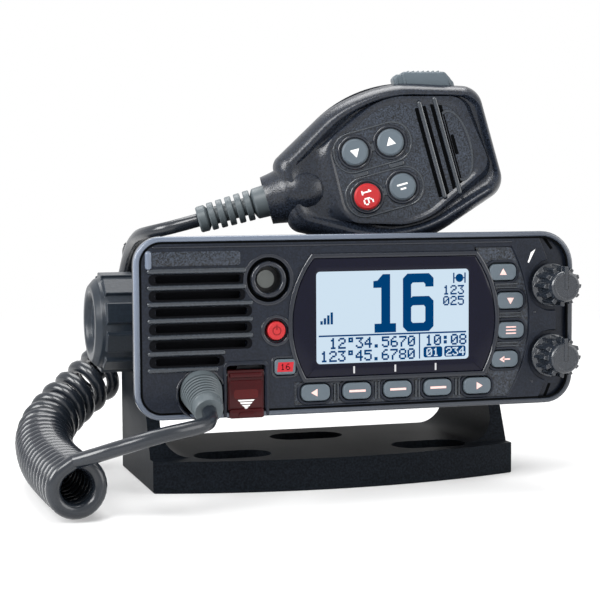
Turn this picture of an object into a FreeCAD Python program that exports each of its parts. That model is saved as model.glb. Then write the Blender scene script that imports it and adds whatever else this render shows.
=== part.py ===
"""A fixed-mount VHF marine radio with its tilt bracket and a fist microphone on a curly cord.

Millimetres, +Z up. The origin lies on the surface that the bracket stands on, straight below the
tilt axis and midway between the two arms; +X is to the right of someone who faces the radio, and
+Y points away from that person. Sizes of the front face are counted from its centre: X to the
right, Z up, and depth from its foremost plane towards the rear.
"""

import FreeCAD
import Part

import math
import os

import Sketcher
from FreeCAD import Placement, Rotation, Vector

# ---------------------------------------------------------------- driving dimensions

SIZES = {
    # tilt axis, and where the front face lies about it
    "tilt_height": 57.4,
    "face_above_axis": 2.0,
    "face_reach": 56.0,
    # bracket
    "arm_thickness": 4.7,
    "plate_top": 11.1,
    "plate_thickness": 3.2,
    "bracket_wall": 3.0,
    "bracket_front": 29.0,
    "bracket_bow": 11.0,
    "bracket_rear": 28.6,
    "arm_slope_top": 27.0,
    "arm_shoulder": 38.0,
    "arm_end_radius": 17.0,
    "arm_root_radius": 10.0,
    "slot_length": 28.0,
    "slot_width": 16.0,
    "slot_spacing": 74.0,
    "front_slot_ahead": 22.3,
    "rear_slot_behind": 10.5,
    # front bezel
    "bezel_width": 156.0,
    "bezel_height": 60.2,
    "bezel_flange": 5.0,
    "bezel_edge_radius": 1.6,
    "bezel_corner": 9.0,
    "bezel_wall": 3.2,
    "skin": 2.0,
    "hood_left": 73.0,
    "hood_right": 76.5,
    "hood_bottom": 28.9,
    "hood_depth": 15.0,
    "neck_depth": 24.0,
    "neck_margin": 2.5,
    # window, with the key arc and the knob strip drawn about its centre
    "dial_x": 12.0,
    "lens_radius": 36.6,
    "lens_top": 22.2,
    "lens_bottom": 18.0,
    "lens_thickness": 2.0,
    "lens_proud": 0.3,
    "lcd_width": 55.4,
    "lcd_height": 31.4,
    "lcd_offset": 0.7,
    "lcd_rise": 2.0,
    "lcd_thickness": 4.0,
    "panel_radius": 49.6,
    "panel_bottom": 27.3,
    "panel_left": 24.0,
    "panel_depth": 0.8,
    "strip_radius": 60.0,
    "strip_step": 1.5,
    # push keys
    "key_width": 10.0,
    "key_height": 5.6,
    "key_corner": 2.2,
    "key_gap": 0.4,
    "key_proud": 0.7,
    "key_lip": 1.1,
    "key_tail": 3.0,
    "row_first": 16.6,
    "row_pitch": 14.65,
    "row_drop": 23.0,
    "arc_radius": 42.6,
    "arc_first": 22.3,
    "arc_step": 13.9,
    "power_x": 30.2,
    "power_drop": 1.7,
    "power_radius": 3.1,
    "power_ring": 4.7,
    "call_x": 27.3,
    "call_drop": 13.9,
    "call_width": 7.3,
    "call_height": 5.2,
    # speaker and its grille
    "speaker_x": 56.0,
    "speaker_rise": 3.0,
    "speaker_radius": 14.5,
    "speaker_depth": 9.6,
    "magnet_radius": 8.0,
    "slat_first": 16.1,
    "slat_pitch": 5.41,
    "slat_slot": 3.1,
    "grille_left": 72.0,
    "grille_right": 40.0,
    "grille_short": 49.5,
    # round port
    "port_x": 32.8,
    "port_rise": 15.4,
    "port_well": 7.6,
    "port_radius": 6.2,
    "port_bore": 4.5,
    "port_cap_radius": 3.0,
    # covered button
    "guard_x": 40.75,
    "guard_width": 13.1,
    "guard_top": 13.0,
    "guard_pocket": 4.0,
    "cover_gap": 0.35,
    "cover_thickness": 1.5,
    "cover_pin_radius": 0.7,
    "cover_pin_drop": 16.0,
    "cover_pin_depth": 2.0,
    "alarm_size": 7.0,
    "alarm_drop": 23.4,
    # cord gland of the front face
    "gland_x": 56.0,
    "gland_drop": 21.9,
    "gland_well": 7.9,
    "gland_hole": 4.0,
    "gland_radius": 6.8,
    "gland_tip_radius": 4.6,
    "gland_length": 9.5,
    "gland_droop": 25.0,
    # volume and squelch knobs
    "knob_x": 70.3,
    "volume_rise": 11.3,
    "squelch_drop": 13.5,
    "knob_flange_radius": 7.6,
    "knob_radius": 6.6,
    "knob_face_radius": 4.8,
    "knob_reach": 11.3,
    "knob_well": 9.0,
    "shaft_radius": 3.0,
    "pot_radius": 4.1,
    "pot_depth": 5.3,
    # boards
    "mat_depth": 7.1,
    "mat_thickness": 1.5,
    "board_thickness": 1.6,
    "main_board_length": 84.0,
    "main_board_drop": 13.6,
    "amplifier_left": 30.0,
    "amplifier_right": 26.0,
    "amplifier_start": 52.0,
    "amplifier_length": 31.0,
    "amplifier_height": 11.6,
    # chassis
    "chassis_width": 116.0,
    "chassis_top": 24.2,
    "chassis_bottom": 26.0,
    "chassis_depth": 104.0,
    "chassis_wall": 2.6,
    "gasket_thickness": 1.2,
    "fin_depth": 8.0,
    "fin_thickness": 2.0,
    "fin_left": 9.0,
    "fin_right": 44.0,
    "boss_radius": 11.0,
    "boss_proud": 3.0,
    "washer_room": 1.3,
    # tilt knobs
    "tilt_knob_radius": 18.0,
    "tilt_knob_length": 16.3,
    "knob_socket_share": 0.55,
    "dish_radius": 10.5,
    "dish_depth": 2.6,
    "stud_radius": 3.0,
    "stud_depth": 7.0,
    "running_gap": 0.05,
    "seat_gap": 0.3,
    # rear sockets
    "antenna_inset": 20.0,
    "antenna_radius": 7.9,
    "antenna_length": 16.0,
    "grommet_radius": 6.0,
    "grommet_inset": 26.0,
    "grommet_pitch": 20.0,
    # fist microphone
    "mic_x": 25.2,
    "mic_y": 22.0,
    "mic_above_axis": 42.7,
    "mic_yaw": 14.0,
    "mic_lean": 15.5,
    "mic_end": 83.5,
    "mic_start": 6.5,
    "mic_crown_u": 43.0,
    "mic_crown_v": 32.0,
    "mic_end_v": 18.5,
    "mic_start_v": 12.3,
    "mic_crown_radius": 45.0,
    "mic_front_depth": 8.0,
    "mic_back_depth": 20.0,
    "mic_wall": 2.2,
    "mic_key_radius": 4.6,
    "mic_key_u": 41.8,
    "mic_key_pitch_u": 12.8,
    "mic_key_pitch_v": 16.0,
    "relief_length": 27.0,
    "relief_radius": 5.6,
    "mic_boss_radius": 8.2,
    "hanger_radius": 7.0,
    # cord
    "cord_radius": 2.25,
    "coil_radius": 10.25,
}

doc = FreeCAD.newDocument("marine_radio")
sheet = doc.addObject("Spreadsheet::Sheet", "dim")
for row, (alias, number) in enumerate(SIZES.items(), 1):
    sheet.set(f"A{row}", alias)
    sheet.set(f"B{row}", str(number))
    sheet.setAlias(f"B{row}", alias)
doc.recompute()


class Size:
    """A length or angle that knows its number and the sheet expression that it comes from."""

    def __init__(self, number, text):
        self.number = number
        self.text = text

    def __add__(self, other):
        return Size(self.number + num(other), f"({self.text} + {txt(other)})")

    def __sub__(self, other):
        return Size(self.number - num(other), f"({self.text} - {txt(other)})")

    def __mul__(self, other):
        return Size(self.number * num(other), f"({self.text} * {txt(other)})")

    def __truediv__(self, other):
        return Size(self.number / num(other), f"({self.text} / {txt(other)})")

    def __radd__(self, other):
        return Size(other, f"{other:.12g}") + self

    def __rsub__(self, other):
        return Size(other, f"{other:.12g}") - self

    def __neg__(self):
        return Size(-self.number, f"(-1 * {self.text})")


def num(value):
    return value.number if isinstance(value, Size) else float(value)


def txt(value):
    return value.text if isinstance(value, Size) else f"({value:.12g})"


def as_size(value):
    return value if isinstance(value, Size) else Size(float(value), f"{value:.12g}")


def sine(angle):
    return Size(math.sin(math.radians(angle.number)), f"sin({angle.text} * 1 deg)")


def cosine(angle):
    return Size(math.cos(math.radians(angle.number)), f"cos({angle.text} * 1 deg)")


class Sizes:
    """The sheet's cells as Size values, read by their aliases."""

    def __getattr__(self, alias):
        return Size(float(sheet.get(alias)), f"dim.{alias}")


D = Sizes()
FACE_Z = D.tilt_height + D.face_above_axis


def fz(rise):
    """The height of a place on the front face."""
    return FACE_Z + rise


def fy(depth):
    """The Y of a depth behind the front face's foremost plane."""
    return depth - D.face_reach


# ---------------------------------------------------------------- ways to make a piece

TO_Y = Rotation(Vector(1, 0, 0), -90)  # turns a shape's own Z to +Y
TO_FRONT = Rotation(Vector(1, 0, 0), 90)  # to -Y
TO_RIGHT = Rotation(Vector(0, 1, 0), 90)  # to +X
TO_LEFT = Rotation(Vector(0, 1, 0), -90)  # to -X

parts = {}


def keep(label, thing):
    """Names a finished sub-part; its file has the same name."""
    thing.Label = label
    parts[label] = thing
    return thing


def place(thing, at, turn=None):
    """Puts a thing at a point whose coordinates stay bound to the sheet."""
    if turn is not None:
        thing.Placement = Placement(Vector(), turn)
    for axis, value in zip("xyz", at):
        thing.setExpression(f"Placement.Base.{axis}", txt(value))
    return thing


def add(kind, name, at, turn=None, **sizes):
    """A Part primitive or boolean with its sizes bound to the sheet."""
    thing = doc.addObject(f"Part::{kind}", name)
    for prop, value in sizes.items():
        thing.setExpression(prop, txt(value))
    return place(thing, at, turn)


def block(name, x, y, z):
    """A box from its low and high bounds along each axis."""
    (x0, x1), (y0, y1), (z0, z1) = x, y, z
    length, width, height = as_size(x1) - x0, as_size(y1) - y0, as_size(z1) - z0
    return add("Box", name, (x0, y0, z0), Length=length, Width=width, Height=height)


def rod(name, radius, length, at, turn=None):
    return add("Cylinder", name, at, turn, Radius=radius, Height=length)


def cut(name, base, *tools):
    """The base with every tool taken away."""
    tool = tools[0] if len(tools) == 1 else fuse(f"{name}_tools", *tools)
    result = doc.addObject("Part::Cut", name)
    result.Base, result.Tool = base, tool
    return result


def fuse(name, *things):
    result = doc.addObject("Part::MultiFuse", name)
    result.Shapes = list(things)
    return result


def common(name, *things):
    result = doc.addObject("Part::MultiCommon", name)
    result.Shapes = list(things)
    return result


def new_body(name, at=(0, 0, 0), turn=None):
    return place(doc.addObject("PartDesign::Body", name), at, turn)


def new_sketch(body, plane, name, offset=0):
    """A sketch on one of its body's origin planes, moved along the plane's normal."""
    sketch = body.newObject("Sketcher::SketchObject", name)
    origin = [f for f in body.Origin.OriginFeatures if f.Role == plane][0]
    sketch.AttachmentSupport = [(origin, "")]
    sketch.MapMode = "FlatFace"
    sketch.setExpression("AttachmentOffset.Base.z", txt(offset))
    return sketch


def bind(sketch, kind, *where):
    """A dimension of a sketch, bound to the sheet."""
    *where, value = where
    index = sketch.addConstraint(Sketcher.Constraint(kind, *where, num(value)))
    sketch.setExpression(f"Constraints[{index}]", txt(value))


def pin_point(sketch, item, end, a, b):
    bind(sketch, "DistanceX", -1, 1, item, end, a)
    bind(sketch, "DistanceY", -1, 1, item, end, b)


def polygon(sketch, points):
    """A closed loop of straight sides through points whose coordinates are bound to the sheet."""
    flat = [Vector(num(a), num(b), 0) for a, b in points]
    lines = [sketch.addGeometry(Part.LineSegment(p, q)) for p, q in zip(flat, flat[1:] + flat[:1])]
    for line, after, (a, b) in zip(lines, lines[1:] + lines[:1], points):
        sketch.addConstraint(Sketcher.Constraint("Coincident", line, 2, after, 1))
        pin_point(sketch, line, 1, a, b)


def rounded(sketch, corners):
    """A closed loop of straight sides with each corner (a, b, radius) rounded by a tangent arc."""
    flat = [Vector(num(a), num(b), 0) for a, b, _ in corners]
    ends = []
    for before, at, after, (_, _, radius) in zip(flat[-1:] + flat, flat, flat[1:] + flat[:1], corners):
        back, ahead = (before - at).normalize(), (after - at).normalize()
        half = back.getAngle(ahead) / 2
        reach = num(radius) / math.tan(half)
        middle = at + (back + ahead).normalize() * (num(radius) / math.sin(half) - num(radius))
        ends.append((at + back * reach, middle, at + ahead * reach))
    lines, arcs = [], []
    for (_, _, leave), (arrive, middle, depart) in zip(ends, ends[1:] + ends[:1]):
        lines.append(sketch.addGeometry(Part.LineSegment(leave, arrive)))
        # an arc of a sketch always runs anticlockwise
        clockwise = (middle - arrive).cross(depart - middle).z < 0
        bend = Part.Arc(depart, middle, arrive) if clockwise else Part.Arc(arrive, middle, depart)
        arcs.append(sketch.addGeometry(bend))
    for index, (a, b, radius) in enumerate(corners):
        line, arc, after = lines[index - 1], arcs[index - 1], lines[index]
        first, last = (1, 2) if _starts_at(sketch.Geometry[arc], ends[index][0]) else (2, 1)
        sketch.addConstraint(Sketcher.Constraint("Tangent", line, 2, arc, first))
        sketch.addConstraint(Sketcher.Constraint("Tangent", arc, last, after, 1))
        bind(sketch, "Radius", arc, radius)
        corner = sketch.addGeometry(Part.Point(flat[index]), True)
        pin_point(sketch, corner, 1, a, b)
        sketch.addConstraint(Sketcher.Constraint("PointOnObject", corner, 1, line))
        sketch.addConstraint(Sketcher.Constraint("PointOnObject", corner, 1, after))


def _starts_at(arc, point):
    return (arc.StartPoint - point).Length < (arc.EndPoint - point).Length


def circle(sketch, a, b, radius):
    ring = sketch.addGeometry(Part.Circle(Vector(num(a), num(b), 0), Vector(0, 0, 1), num(radius)))
    bind(sketch, "Radius", ring, radius)
    pin_point(sketch, ring, 3, a, b)


def pad(body, sketch, length, name, reverse=False):
    feature = body.newObject("PartDesign::Pad", name)
    feature.Profile = sketch
    feature.Reversed = reverse
    feature.setExpression("Length", txt(length))
    body.Tip = feature
    return feature


def face_plate(name, start, depth, *loops):
    """A plate parallel to the front face, from a depth on, with rounded, straight or round loops."""
    body = new_body(name, (0, fy(start), FACE_Z))
    sketch = new_sketch(body, "XZ_Plane", f"{name}_outline")
    for draw, *values in loops:
        draw(sketch, *values)
    pad(body, sketch, depth, f"{name}_pad", reverse=True)
    return body


def oblong(x, z, width, height, radius):
    """The corners of a rounded rectangle about a centre."""
    left, right = as_size(x) - as_size(width) / 2, as_size(x) + as_size(width) / 2
    low, high = as_size(z) - as_size(height) / 2, as_size(z) + as_size(height) / 2
    return [(left, low, radius), (right, low, radius), (right, high, radius), (left, high, radius)]


def turned(name, profile, at=(0, 0, 0), turn=None):
    """A solid of revolution about its own Z; profile holds (radius, height) points."""
    body = new_body(name, at, turn)
    sketch = new_sketch(body, "XZ_Plane", f"{name}_profile")
    polygon(sketch, profile)
    feature = body.newObject("PartDesign::Revolution", f"{name}_turn")
    feature.Profile = sketch
    feature.ReferenceAxis = (sketch, ["V_Axis"])
    feature.Angle = 360
    body.Tip = feature
    return body


def soften(body, radius, name, wanted):
    """Rounds the edges of a body that the test picks, given each edge and the body's bounds."""
    doc.recompute()
    base = body.Tip
    whole = base.Shape.BoundBox
    edges = [f"Edge{n}" for n, edge in enumerate(base.Shape.Edges, 1) if wanted(edge, whole)]
    feature = body.newObject("PartDesign::Fillet", name)
    feature.Base = (base, edges)
    feature.setExpression("Radius", txt(radius))
    body.Tip = feature


def around(body, feature, count, name):
    """Repeats a feature about its body's own Z."""
    pattern = body.newObject("PartDesign::PolarPattern", name)
    pattern.Originals = [feature]
    pattern.Axis = ([f for f in body.Origin.OriginFeatures if f.Role == "Z_Axis"][0], [""])
    pattern.Angle = 360
    pattern.Occurrences = count
    body.Tip = pattern
    return pattern


# ---------------------------------------------------------------- mounting bracket

BOSS_FACE = D.chassis_width / 2 + D.boss_proud
STUD_END = D.chassis_width / 2 - D.stud_depth
ARM_IN = BOSS_FACE + D.washer_room
ARM_OUT = ARM_IN + D.arm_thickness
ARM_TOP = D.tilt_height + D.arm_end_radius
EDGE = 0.6  # the small radius that a moulding's plain corners have


def bowed(sketch, half_width, front, rear):
    """The base's plan: straight sides and rear, and a front edge that bows forward."""
    corners = [(half_width, -front), (half_width, rear), (-half_width, rear), (-half_width, -front)]
    flat = [Vector(num(a), num(b), 0) for a, b in corners]
    lines = [sketch.addGeometry(Part.LineSegment(p, q)) for p, q in zip(flat, flat[1:])]
    bow_tip = Vector(0, -num(front) - num(D.bracket_bow), 0)
    arc = sketch.addGeometry(Part.Arc(flat[3], bow_tip, flat[0]))
    for line, (a, b) in zip(lines, corners):
        pin_point(sketch, line, 1, a, b)
    pin_point(sketch, lines[2], 2, *corners[3])
    for line, after in zip(lines, lines[1:]):
        sketch.addConstraint(Sketcher.Constraint("Coincident", line, 2, after, 1))
    start, end = (1, 2) if _starts_at(sketch.Geometry[arc], flat[3]) else (2, 1)
    sketch.addConstraint(Sketcher.Constraint("Coincident", lines[2], 2, arc, start))
    sketch.addConstraint(Sketcher.Constraint("Coincident", lines[0], 1, arc, end))
    bow_radius = (half_width * half_width + D.bracket_bow * D.bracket_bow) / (D.bracket_bow * 2)
    bind(sketch, "Radius", arc, bow_radius)


def plan_plate(name, half_width, front, rear, bottom, top):
    body = new_body(name, (0, 0, bottom))
    sketch = new_sketch(body, "XY_Plane", f"{name}_plan")
    bowed(sketch, half_width, front, rear)
    pad(body, sketch, top - bottom, f"{name}_pad")
    return body


def slot(name, x, y):
    """A round-ended slot through the base, along X."""
    straight = (D.slot_length - D.slot_width) / 2
    radius, below, through = D.slot_width / 2, Size(-1, "-1"), D.plate_top + 2
    middle = block(
        f"{name}_middle",
        (x - straight, x + straight),
        (y - radius, y + radius),
        (below, through + below),
    )
    ends = [
        rod(f"{name}_{side}_end", radius, through, (x + straight * sign, y, below))
        for side, sign in (("left", -1), ("right", 1))
    ]
    return fuse(name, middle, *ends)


def make_bracket():
    past_front = D.bracket_front + D.bracket_bow + 1
    u_shape = new_body("u_shape", (0, -past_front, 0))
    u_front = new_sketch(u_shape, "XZ_Plane", "u_front")
    right = [
        (ARM_OUT, 0, EDGE),
        (ARM_OUT, ARM_TOP, EDGE),
        (ARM_IN, ARM_TOP, EDGE),
        (ARM_IN, D.plate_top, D.arm_root_radius),
    ]
    rounded(u_front, right + [(-x, z, radius) for x, z, radius in reversed(right)])
    pad(u_shape, u_front, past_front + D.bracket_rear + 1, "u_length", reverse=True)

    arm_side = new_body("arm_side", (-ARM_OUT - 1, 0, 0))
    side = new_sketch(arm_side, "YZ_Plane", "arm_outline")
    nearly_round = D.arm_end_radius - 0.1
    shape = [
        (-D.bracket_front, 0, EDGE),
        (D.bracket_rear, 0, EDGE),
        (D.bracket_rear, D.arm_shoulder, 6),
        (D.arm_end_radius, D.arm_shoulder + 11, 6),
        (D.arm_end_radius, ARM_TOP, nearly_round),
        (-D.arm_end_radius, ARM_TOP, nearly_round),
        (-D.arm_end_radius, D.arm_slope_top, 6),
    ]
    rounded(side, shape)
    pad(arm_side, side, ARM_OUT * 2 + 2, "arm_width")

    base = plan_plate("base", ARM_OUT, D.bracket_front, D.bracket_rear, as_size(0), D.plate_top)
    wall = D.bracket_wall
    hollow = plan_plate(
        "underside",
        ARM_IN,
        D.bracket_front - wall,
        D.bracket_rear - wall,
        as_size(-1),
        D.plate_top - D.plate_thickness,
    )
    apart = D.slot_spacing / 2
    slots = [
        slot("front_left_slot", -apart, -D.front_slot_ahead),
        slot("front_right_slot", apart, -D.front_slot_ahead),
        slot("rear_slot", as_size(0), D.rear_slot_behind),
    ]
    pivot = rod(
        "pivot_holes",
        D.stud_radius + D.running_gap,
        ARM_OUT * 2 + 2,
        (-ARM_OUT - 1, 0, D.tilt_height),
        TO_RIGHT,
    )
    whole = common("bracket_blank", u_shape, fuse("arms_and_base", arm_side, base))
    # a rib below the plate, under the tilt axis
    half_rib = D.bracket_wall / 2
    rib = block(
        "foot_rib", (-ARM_IN - 1, ARM_IN + 1), (-half_rib, half_rib), (as_size(0), D.plate_top - 1)
    )
    keep(
        "mounting_bracket",
        cut("bracket", fuse("bracket_ribbed", cut("bracket_hollow", whole, hollow), rib), *slots, pivot),
    )


make_bracket()

# ---------------------------------------------------------------- front bezel

HALF_FACE = D.bezel_height / 2
POCKET_FLOOR = 1.4  # the wall behind the covered button
NECK = D.chassis_width / 2 + D.neck_margin
GUARD_LEFT = -D.guard_x - D.guard_width / 2
GUARD_RIGHT = -D.guard_x + D.guard_width / 2


def key_places():
    """Each front key: label, centre x and z, width, height and corner radius."""
    keys = []
    for index, name in enumerate(["left", "first_soft", "second_soft", "third_soft", "right"]):
        x = D.row_pitch * index - D.row_first
        keys.append((f"{name}_key", x, -D.row_drop, D.key_width, D.key_height, D.key_corner))
    for index, name in enumerate(["up", "down", "menu", "clear"]):
        angle = D.arc_first - D.arc_step * index
        x, z = D.dial_x + D.arc_radius * cosine(angle), D.arc_radius * sine(angle)
        keys.append((f"{name}_key", x, z, D.key_width, D.key_height, D.key_corner))
    keys.append(("call_key", -D.call_x, -D.call_drop, D.call_width, D.call_height, Size(1.2, "1.2")))
    return keys


def face_disc(name, x, z, radius, start, depth):
    """A disc or a hole in the front face."""
    return rod(name, radius, depth, (x, fy(start), fz(z)), TO_Y)


def lens_shape(name, gap, start, depth):
    """The window's outline: a disc with its top and bottom cut off, larger all round by a gap."""
    disc = face_disc(f"{name}_disc", D.dial_x, 0, D.lens_radius + gap, start, depth)
    reach = D.lens_radius + 2
    band = block(
        f"{name}_band",
        (D.dial_x - reach, D.dial_x + reach),
        (fy(start), fy(start + depth)),
        (fz(-D.lens_bottom - gap), fz(D.lens_top + gap)),
    )
    return common(name, disc, band)


def make_bezel():
    right, top = D.bezel_width / 2, HALF_FACE
    outline = [
        (-right, -top, D.bezel_corner),
        (right, -top, D.bezel_corner + 1),
        (right, top, D.bezel_corner + 3),
        (-right, top, D.bezel_corner),
    ]
    flange = face_plate("flange", as_size(0), D.bezel_flange, (rounded, outline))
    soften(flange, D.bezel_edge_radius, "flange_rim", lambda edge, whole: edge.BoundBox.YLength < EDGE)

    def shell(name, left, right, bottom, top, start, end, radius):
        corners = [
            (left, bottom, radius),
            (right, bottom, radius),
            (right, top, radius),
            (left, top, radius),
        ]
        return face_plate(name, start, end - start, (rounded, corners))

    bottom, top = -D.hood_bottom, D.chassis_top
    hood = shell(
        "hood",
        -D.hood_left,
        D.hood_right,
        bottom,
        top,
        D.bezel_flange - 1,
        D.hood_depth,
        as_size(5),
    )
    neck = shell("neck", -NECK, NECK, -D.chassis_bottom, top, D.hood_depth - 1, D.neck_depth, as_size(4))
    skin = D.skin
    hood_room = shell(
        "hood_room",
        skin - D.hood_left,
        D.hood_right - skin,
        bottom + skin,
        top - skin,
        D.bezel_wall,
        D.hood_depth - skin,
        as_size(3),
    )
    neck_room = shell(
        "neck_room",
        skin - NECK,
        NECK - skin,
        skin - D.chassis_bottom,
        top - skin,
        D.bezel_wall,
        D.neck_depth + 1,
        as_size(2),
    )
    posts = [
        block(f"bezel_post_{n}", *corner_block(x, z, (fy(D.hood_depth), fy(D.neck_depth))))
        for n, (x, z) in enumerate(POST_SIDES, 1)
    ]
    screw_holes = [
        rod(
            f"bezel_screw_hole_{n}",
            as_size(SCREW_SHANK) + 0.05,
            D.neck_depth,
            (x, fy(D.hood_depth), z),
            TO_Y,
        )
        for n, (x, z) in enumerate(screw_places(), 1)
    ]
    pocket_wall = block(
        "pocket_wall",
        (GUARD_LEFT - skin, GUARD_RIGHT + skin),
        (fy(D.bezel_wall - 1), fy(D.guard_pocket + POCKET_FLOOR)),
        (fz(-D.hood_bottom), fz(skin - D.guard_top)),
    )
    body = fuse("bezel_outside", flange, hood, neck)
    walls = cut("bezel_walls", body, hood_room, neck_room)
    solid = fuse("bezel_solid", walls, pocket_wall, *posts)
    keep("front_bezel", cut("bezel", solid, *bezel_cuts(), *screw_holes))


SCREW_SHANK = 1.5  # case screws
SCREW_HEAD = 2.9
POST_SIDE = 8.0
POST_SIDES = [(-1, -1), (1, -1), (1, 1), (-1, 1)]


def corner_block(x_side, z_side, y):
    """A square post in one inside corner of the neck or of the chassis."""
    half, inner = D.chassis_width / 2 - 1, D.chassis_width / 2 - 1 - POST_SIDE
    x = (half * -1, inner * -1) if x_side < 0 else (inner, half)
    low, high = fz(-D.chassis_bottom + 1), fz(D.chassis_top - 1)
    z = (low, low + POST_SIDE) if z_side < 0 else (high - POST_SIDE, high)
    return x, y, z


def screw_places():
    half = D.chassis_width / 2 - 1 - POST_SIDE / 2
    low, high = fz(-D.chassis_bottom + 1 + POST_SIDE / 2), fz(D.chassis_top - 1 - POST_SIDE / 2)
    return [(half * x, low if z < 0 else high) for x, z in POST_SIDES]


def bezel_cuts():
    """Everything that is open or sunk in the front face."""
    through, before = D.bezel_wall + 2, as_size(-1)
    cuts = [lens_shape("lens_seat", as_size(0.15), before, D.lens_thickness - D.lens_proud + 1)]
    cuts.append(
        block(
            "lcd_opening",
            (D.dial_x - D.lcd_offset - D.lcd_width / 2, D.dial_x - D.lcd_offset + D.lcd_width / 2),
            (fy(-1), fy(through)),
            (fz(D.lcd_rise - D.lcd_height / 2), fz(D.lcd_rise + D.lcd_height / 2)),
        )
    )
    # the key panel lies a little lower, inside a circle about the window
    panel_disc = face_disc("panel_disc", D.dial_x, 0, D.panel_radius, before, D.panel_depth + 1)
    panel_box = block(
        "panel_box",
        (D.dial_x - D.panel_left - 12, D.dial_x + D.panel_radius),
        (fy(-1), fy(D.panel_depth)),
        (fz(-D.panel_bottom), fz(D.lens_top + 2.8)),
    )
    window_frame = lens_shape("window_frame", as_size(1.3), before, D.panel_depth + 1)
    window_left = block(
        "window_left",
        (D.dial_x - D.panel_radius, D.dial_x + D.lens_radius * 0.8),
        (fy(-1), fy(D.panel_depth)),
        (fz(-D.lens_bottom - 1.3), fz(D.lens_top + 3)),
    )
    panel = common("panel_outline", panel_disc, panel_box)
    cuts.append(cut("panel", panel, window_frame, window_left))
    # the right end lies a step lower, outside a larger circle about the window
    end_block = block(
        "end_block", (D.hood_left - 10, ARM_OUT + 20), (fy(-1), fy(D.strip_step)), (fz(-40), fz(40))
    )
    strip = face_disc("knob_strip", D.dial_x, 0, D.strip_radius, as_size(-2), D.strip_step + 4)
    cuts.append(cut("right_end", end_block, strip))
    for name, z in (("volume", D.volume_rise), ("squelch", -D.squelch_drop)):
        cuts.append(face_disc(f"{name}_well", D.knob_x, z, D.knob_well, before, D.strip_step + 1))
        cuts.append(face_disc(f"{name}_hole", D.knob_x, z, D.shaft_radius + D.seat_gap, before, through))
    for label, x, z, width, height, corner in key_places():
        hole = oblong(x, z, width + D.key_gap * 2, height + D.key_gap * 2, corner + D.key_gap)
        cuts.append(face_plate(f"{label}_hole", before, through, (rounded, hole)))
    cuts.append(
        face_disc("power_hole", -D.power_x, -D.power_drop, D.power_radius + D.key_gap, before, through),
    )
    cuts.append(
        face_disc("power_well", -D.power_x, -D.power_drop, D.power_ring, before, D.panel_depth + 1),
    )
    for index in range(6):
        z = D.slat_first - D.slat_pitch * index
        # the two highest slots stop short of the round port, and the lowest short of the cover
        right = -D.grille_right - 2.2 if index < 2 else -D.grille_right
        right = -D.grille_short if index == 5 else right
        cuts.append(
            block(
                f"grille_slot_{index + 1}",
                (-D.grille_left + D.skin / 2, right),
                (fy(-1), fy(through)),
                (fz(z - D.slat_slot / 2), fz(z + D.slat_slot / 2)),
            )
        )
    cuts.append(face_disc("port_well", -D.port_x, D.port_rise, D.port_well, before, D.strip_step + 1))
    cuts.append(face_disc("port_hole", -D.port_x, D.port_rise, D.port_radius, before, through))
    cuts.append(
        block(
            "guard_pocket",
            (GUARD_LEFT, GUARD_RIGHT),
            (fy(-1), fy(D.guard_pocket)),
            (fz(-HALF_FACE - 2), fz(-D.guard_top)),
        )
    )
    cuts.append(
        face_disc(
            "alarm_hole",
            -D.guard_x,
            -D.alarm_drop,
            D.alarm_size / 3,
            before,
            D.guard_pocket + POCKET_FLOOR + 2,
        )
    )
    cuts.append(
        rod(
            "cover_pin_hole",
            D.cover_pin_radius + 0.02,
            D.guard_width + 2,
            (GUARD_LEFT - 1, fy(D.cover_pin_depth), fz(-D.cover_pin_drop)),
            TO_RIGHT,
        )
    )
    cuts.append(
        face_disc("gland_well", -D.gland_x, -D.gland_drop, D.gland_well, before, D.strip_step + 1),
    )
    cuts.append(face_disc("gland_hole", -D.gland_x, -D.gland_drop, D.gland_hole, before, through))
    return cuts


make_bezel()

# ---------------------------------------------------------------- window and display

BEHIND_WALL = D.bezel_wall + 0.1


def make_display():
    lens = lens_shape("lens", as_size(0), -D.lens_proud, D.lens_thickness)
    keep("window_lens", lens)
    margin = 0.8
    lcd = block(
        "lcd",
        (
            D.dial_x - D.lcd_offset - D.lcd_width / 2 - margin,
            D.dial_x - D.lcd_offset + D.lcd_width / 2 + margin,
        ),
        (fy(BEHIND_WALL), fy(BEHIND_WALL + D.lcd_thickness)),
        (fz(D.lcd_rise - D.lcd_height / 2 - margin), fz(D.lcd_rise + D.lcd_height / 2 + margin)),
    )
    keep("lcd_module", lcd)


make_display()

# ---------------------------------------------------------------- push keys and what they press


def push_key(label, draw_cap, draw_lip):
    """A key: its cap stands in the bezel's hole, and its lip is caught behind the wall."""
    cap_length = D.key_proud + D.bezel_wall + 0.1
    body = new_body(label, (0, fy(-D.key_proud), FACE_Z))
    cap = new_sketch(body, "XZ_Plane", f"{label}_cap")
    draw_cap(cap)
    pad(body, cap, cap_length, f"{label}_cap_pad", reverse=True)
    soften(
        body,
        as_size(0.5),
        f"{label}_soft_edge",
        lambda edge,
        whole: edge.BoundBox.YMax < whole.YMin + 0.01,
    )
    lip = new_sketch(body, "XZ_Plane", f"{label}_lip", -D.key_proud - D.bezel_wall - 0.05)
    draw_lip(lip)
    pad(body, lip, D.key_tail, f"{label}_lip_pad", reverse=True)
    keep(label, body)


def make_keys():
    lip = D.key_lip
    for label, x, z, width, height, corner in key_places():
        cap_outline = oblong(x, z, width, height, corner)
        lip_outline = oblong(x, z, width + lip * 2, height + lip * 2, corner)
        push_key(label, lambda s, o=cap_outline: rounded(s, o), lambda s, o=lip_outline: rounded(s, o))
    x, z = -D.power_x, -D.power_drop
    push_key(
        "power_key",
        lambda s: circle(s, x, z, D.power_radius),
        lambda s: circle(s, x, z, D.power_radius + lip),
    )


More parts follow.
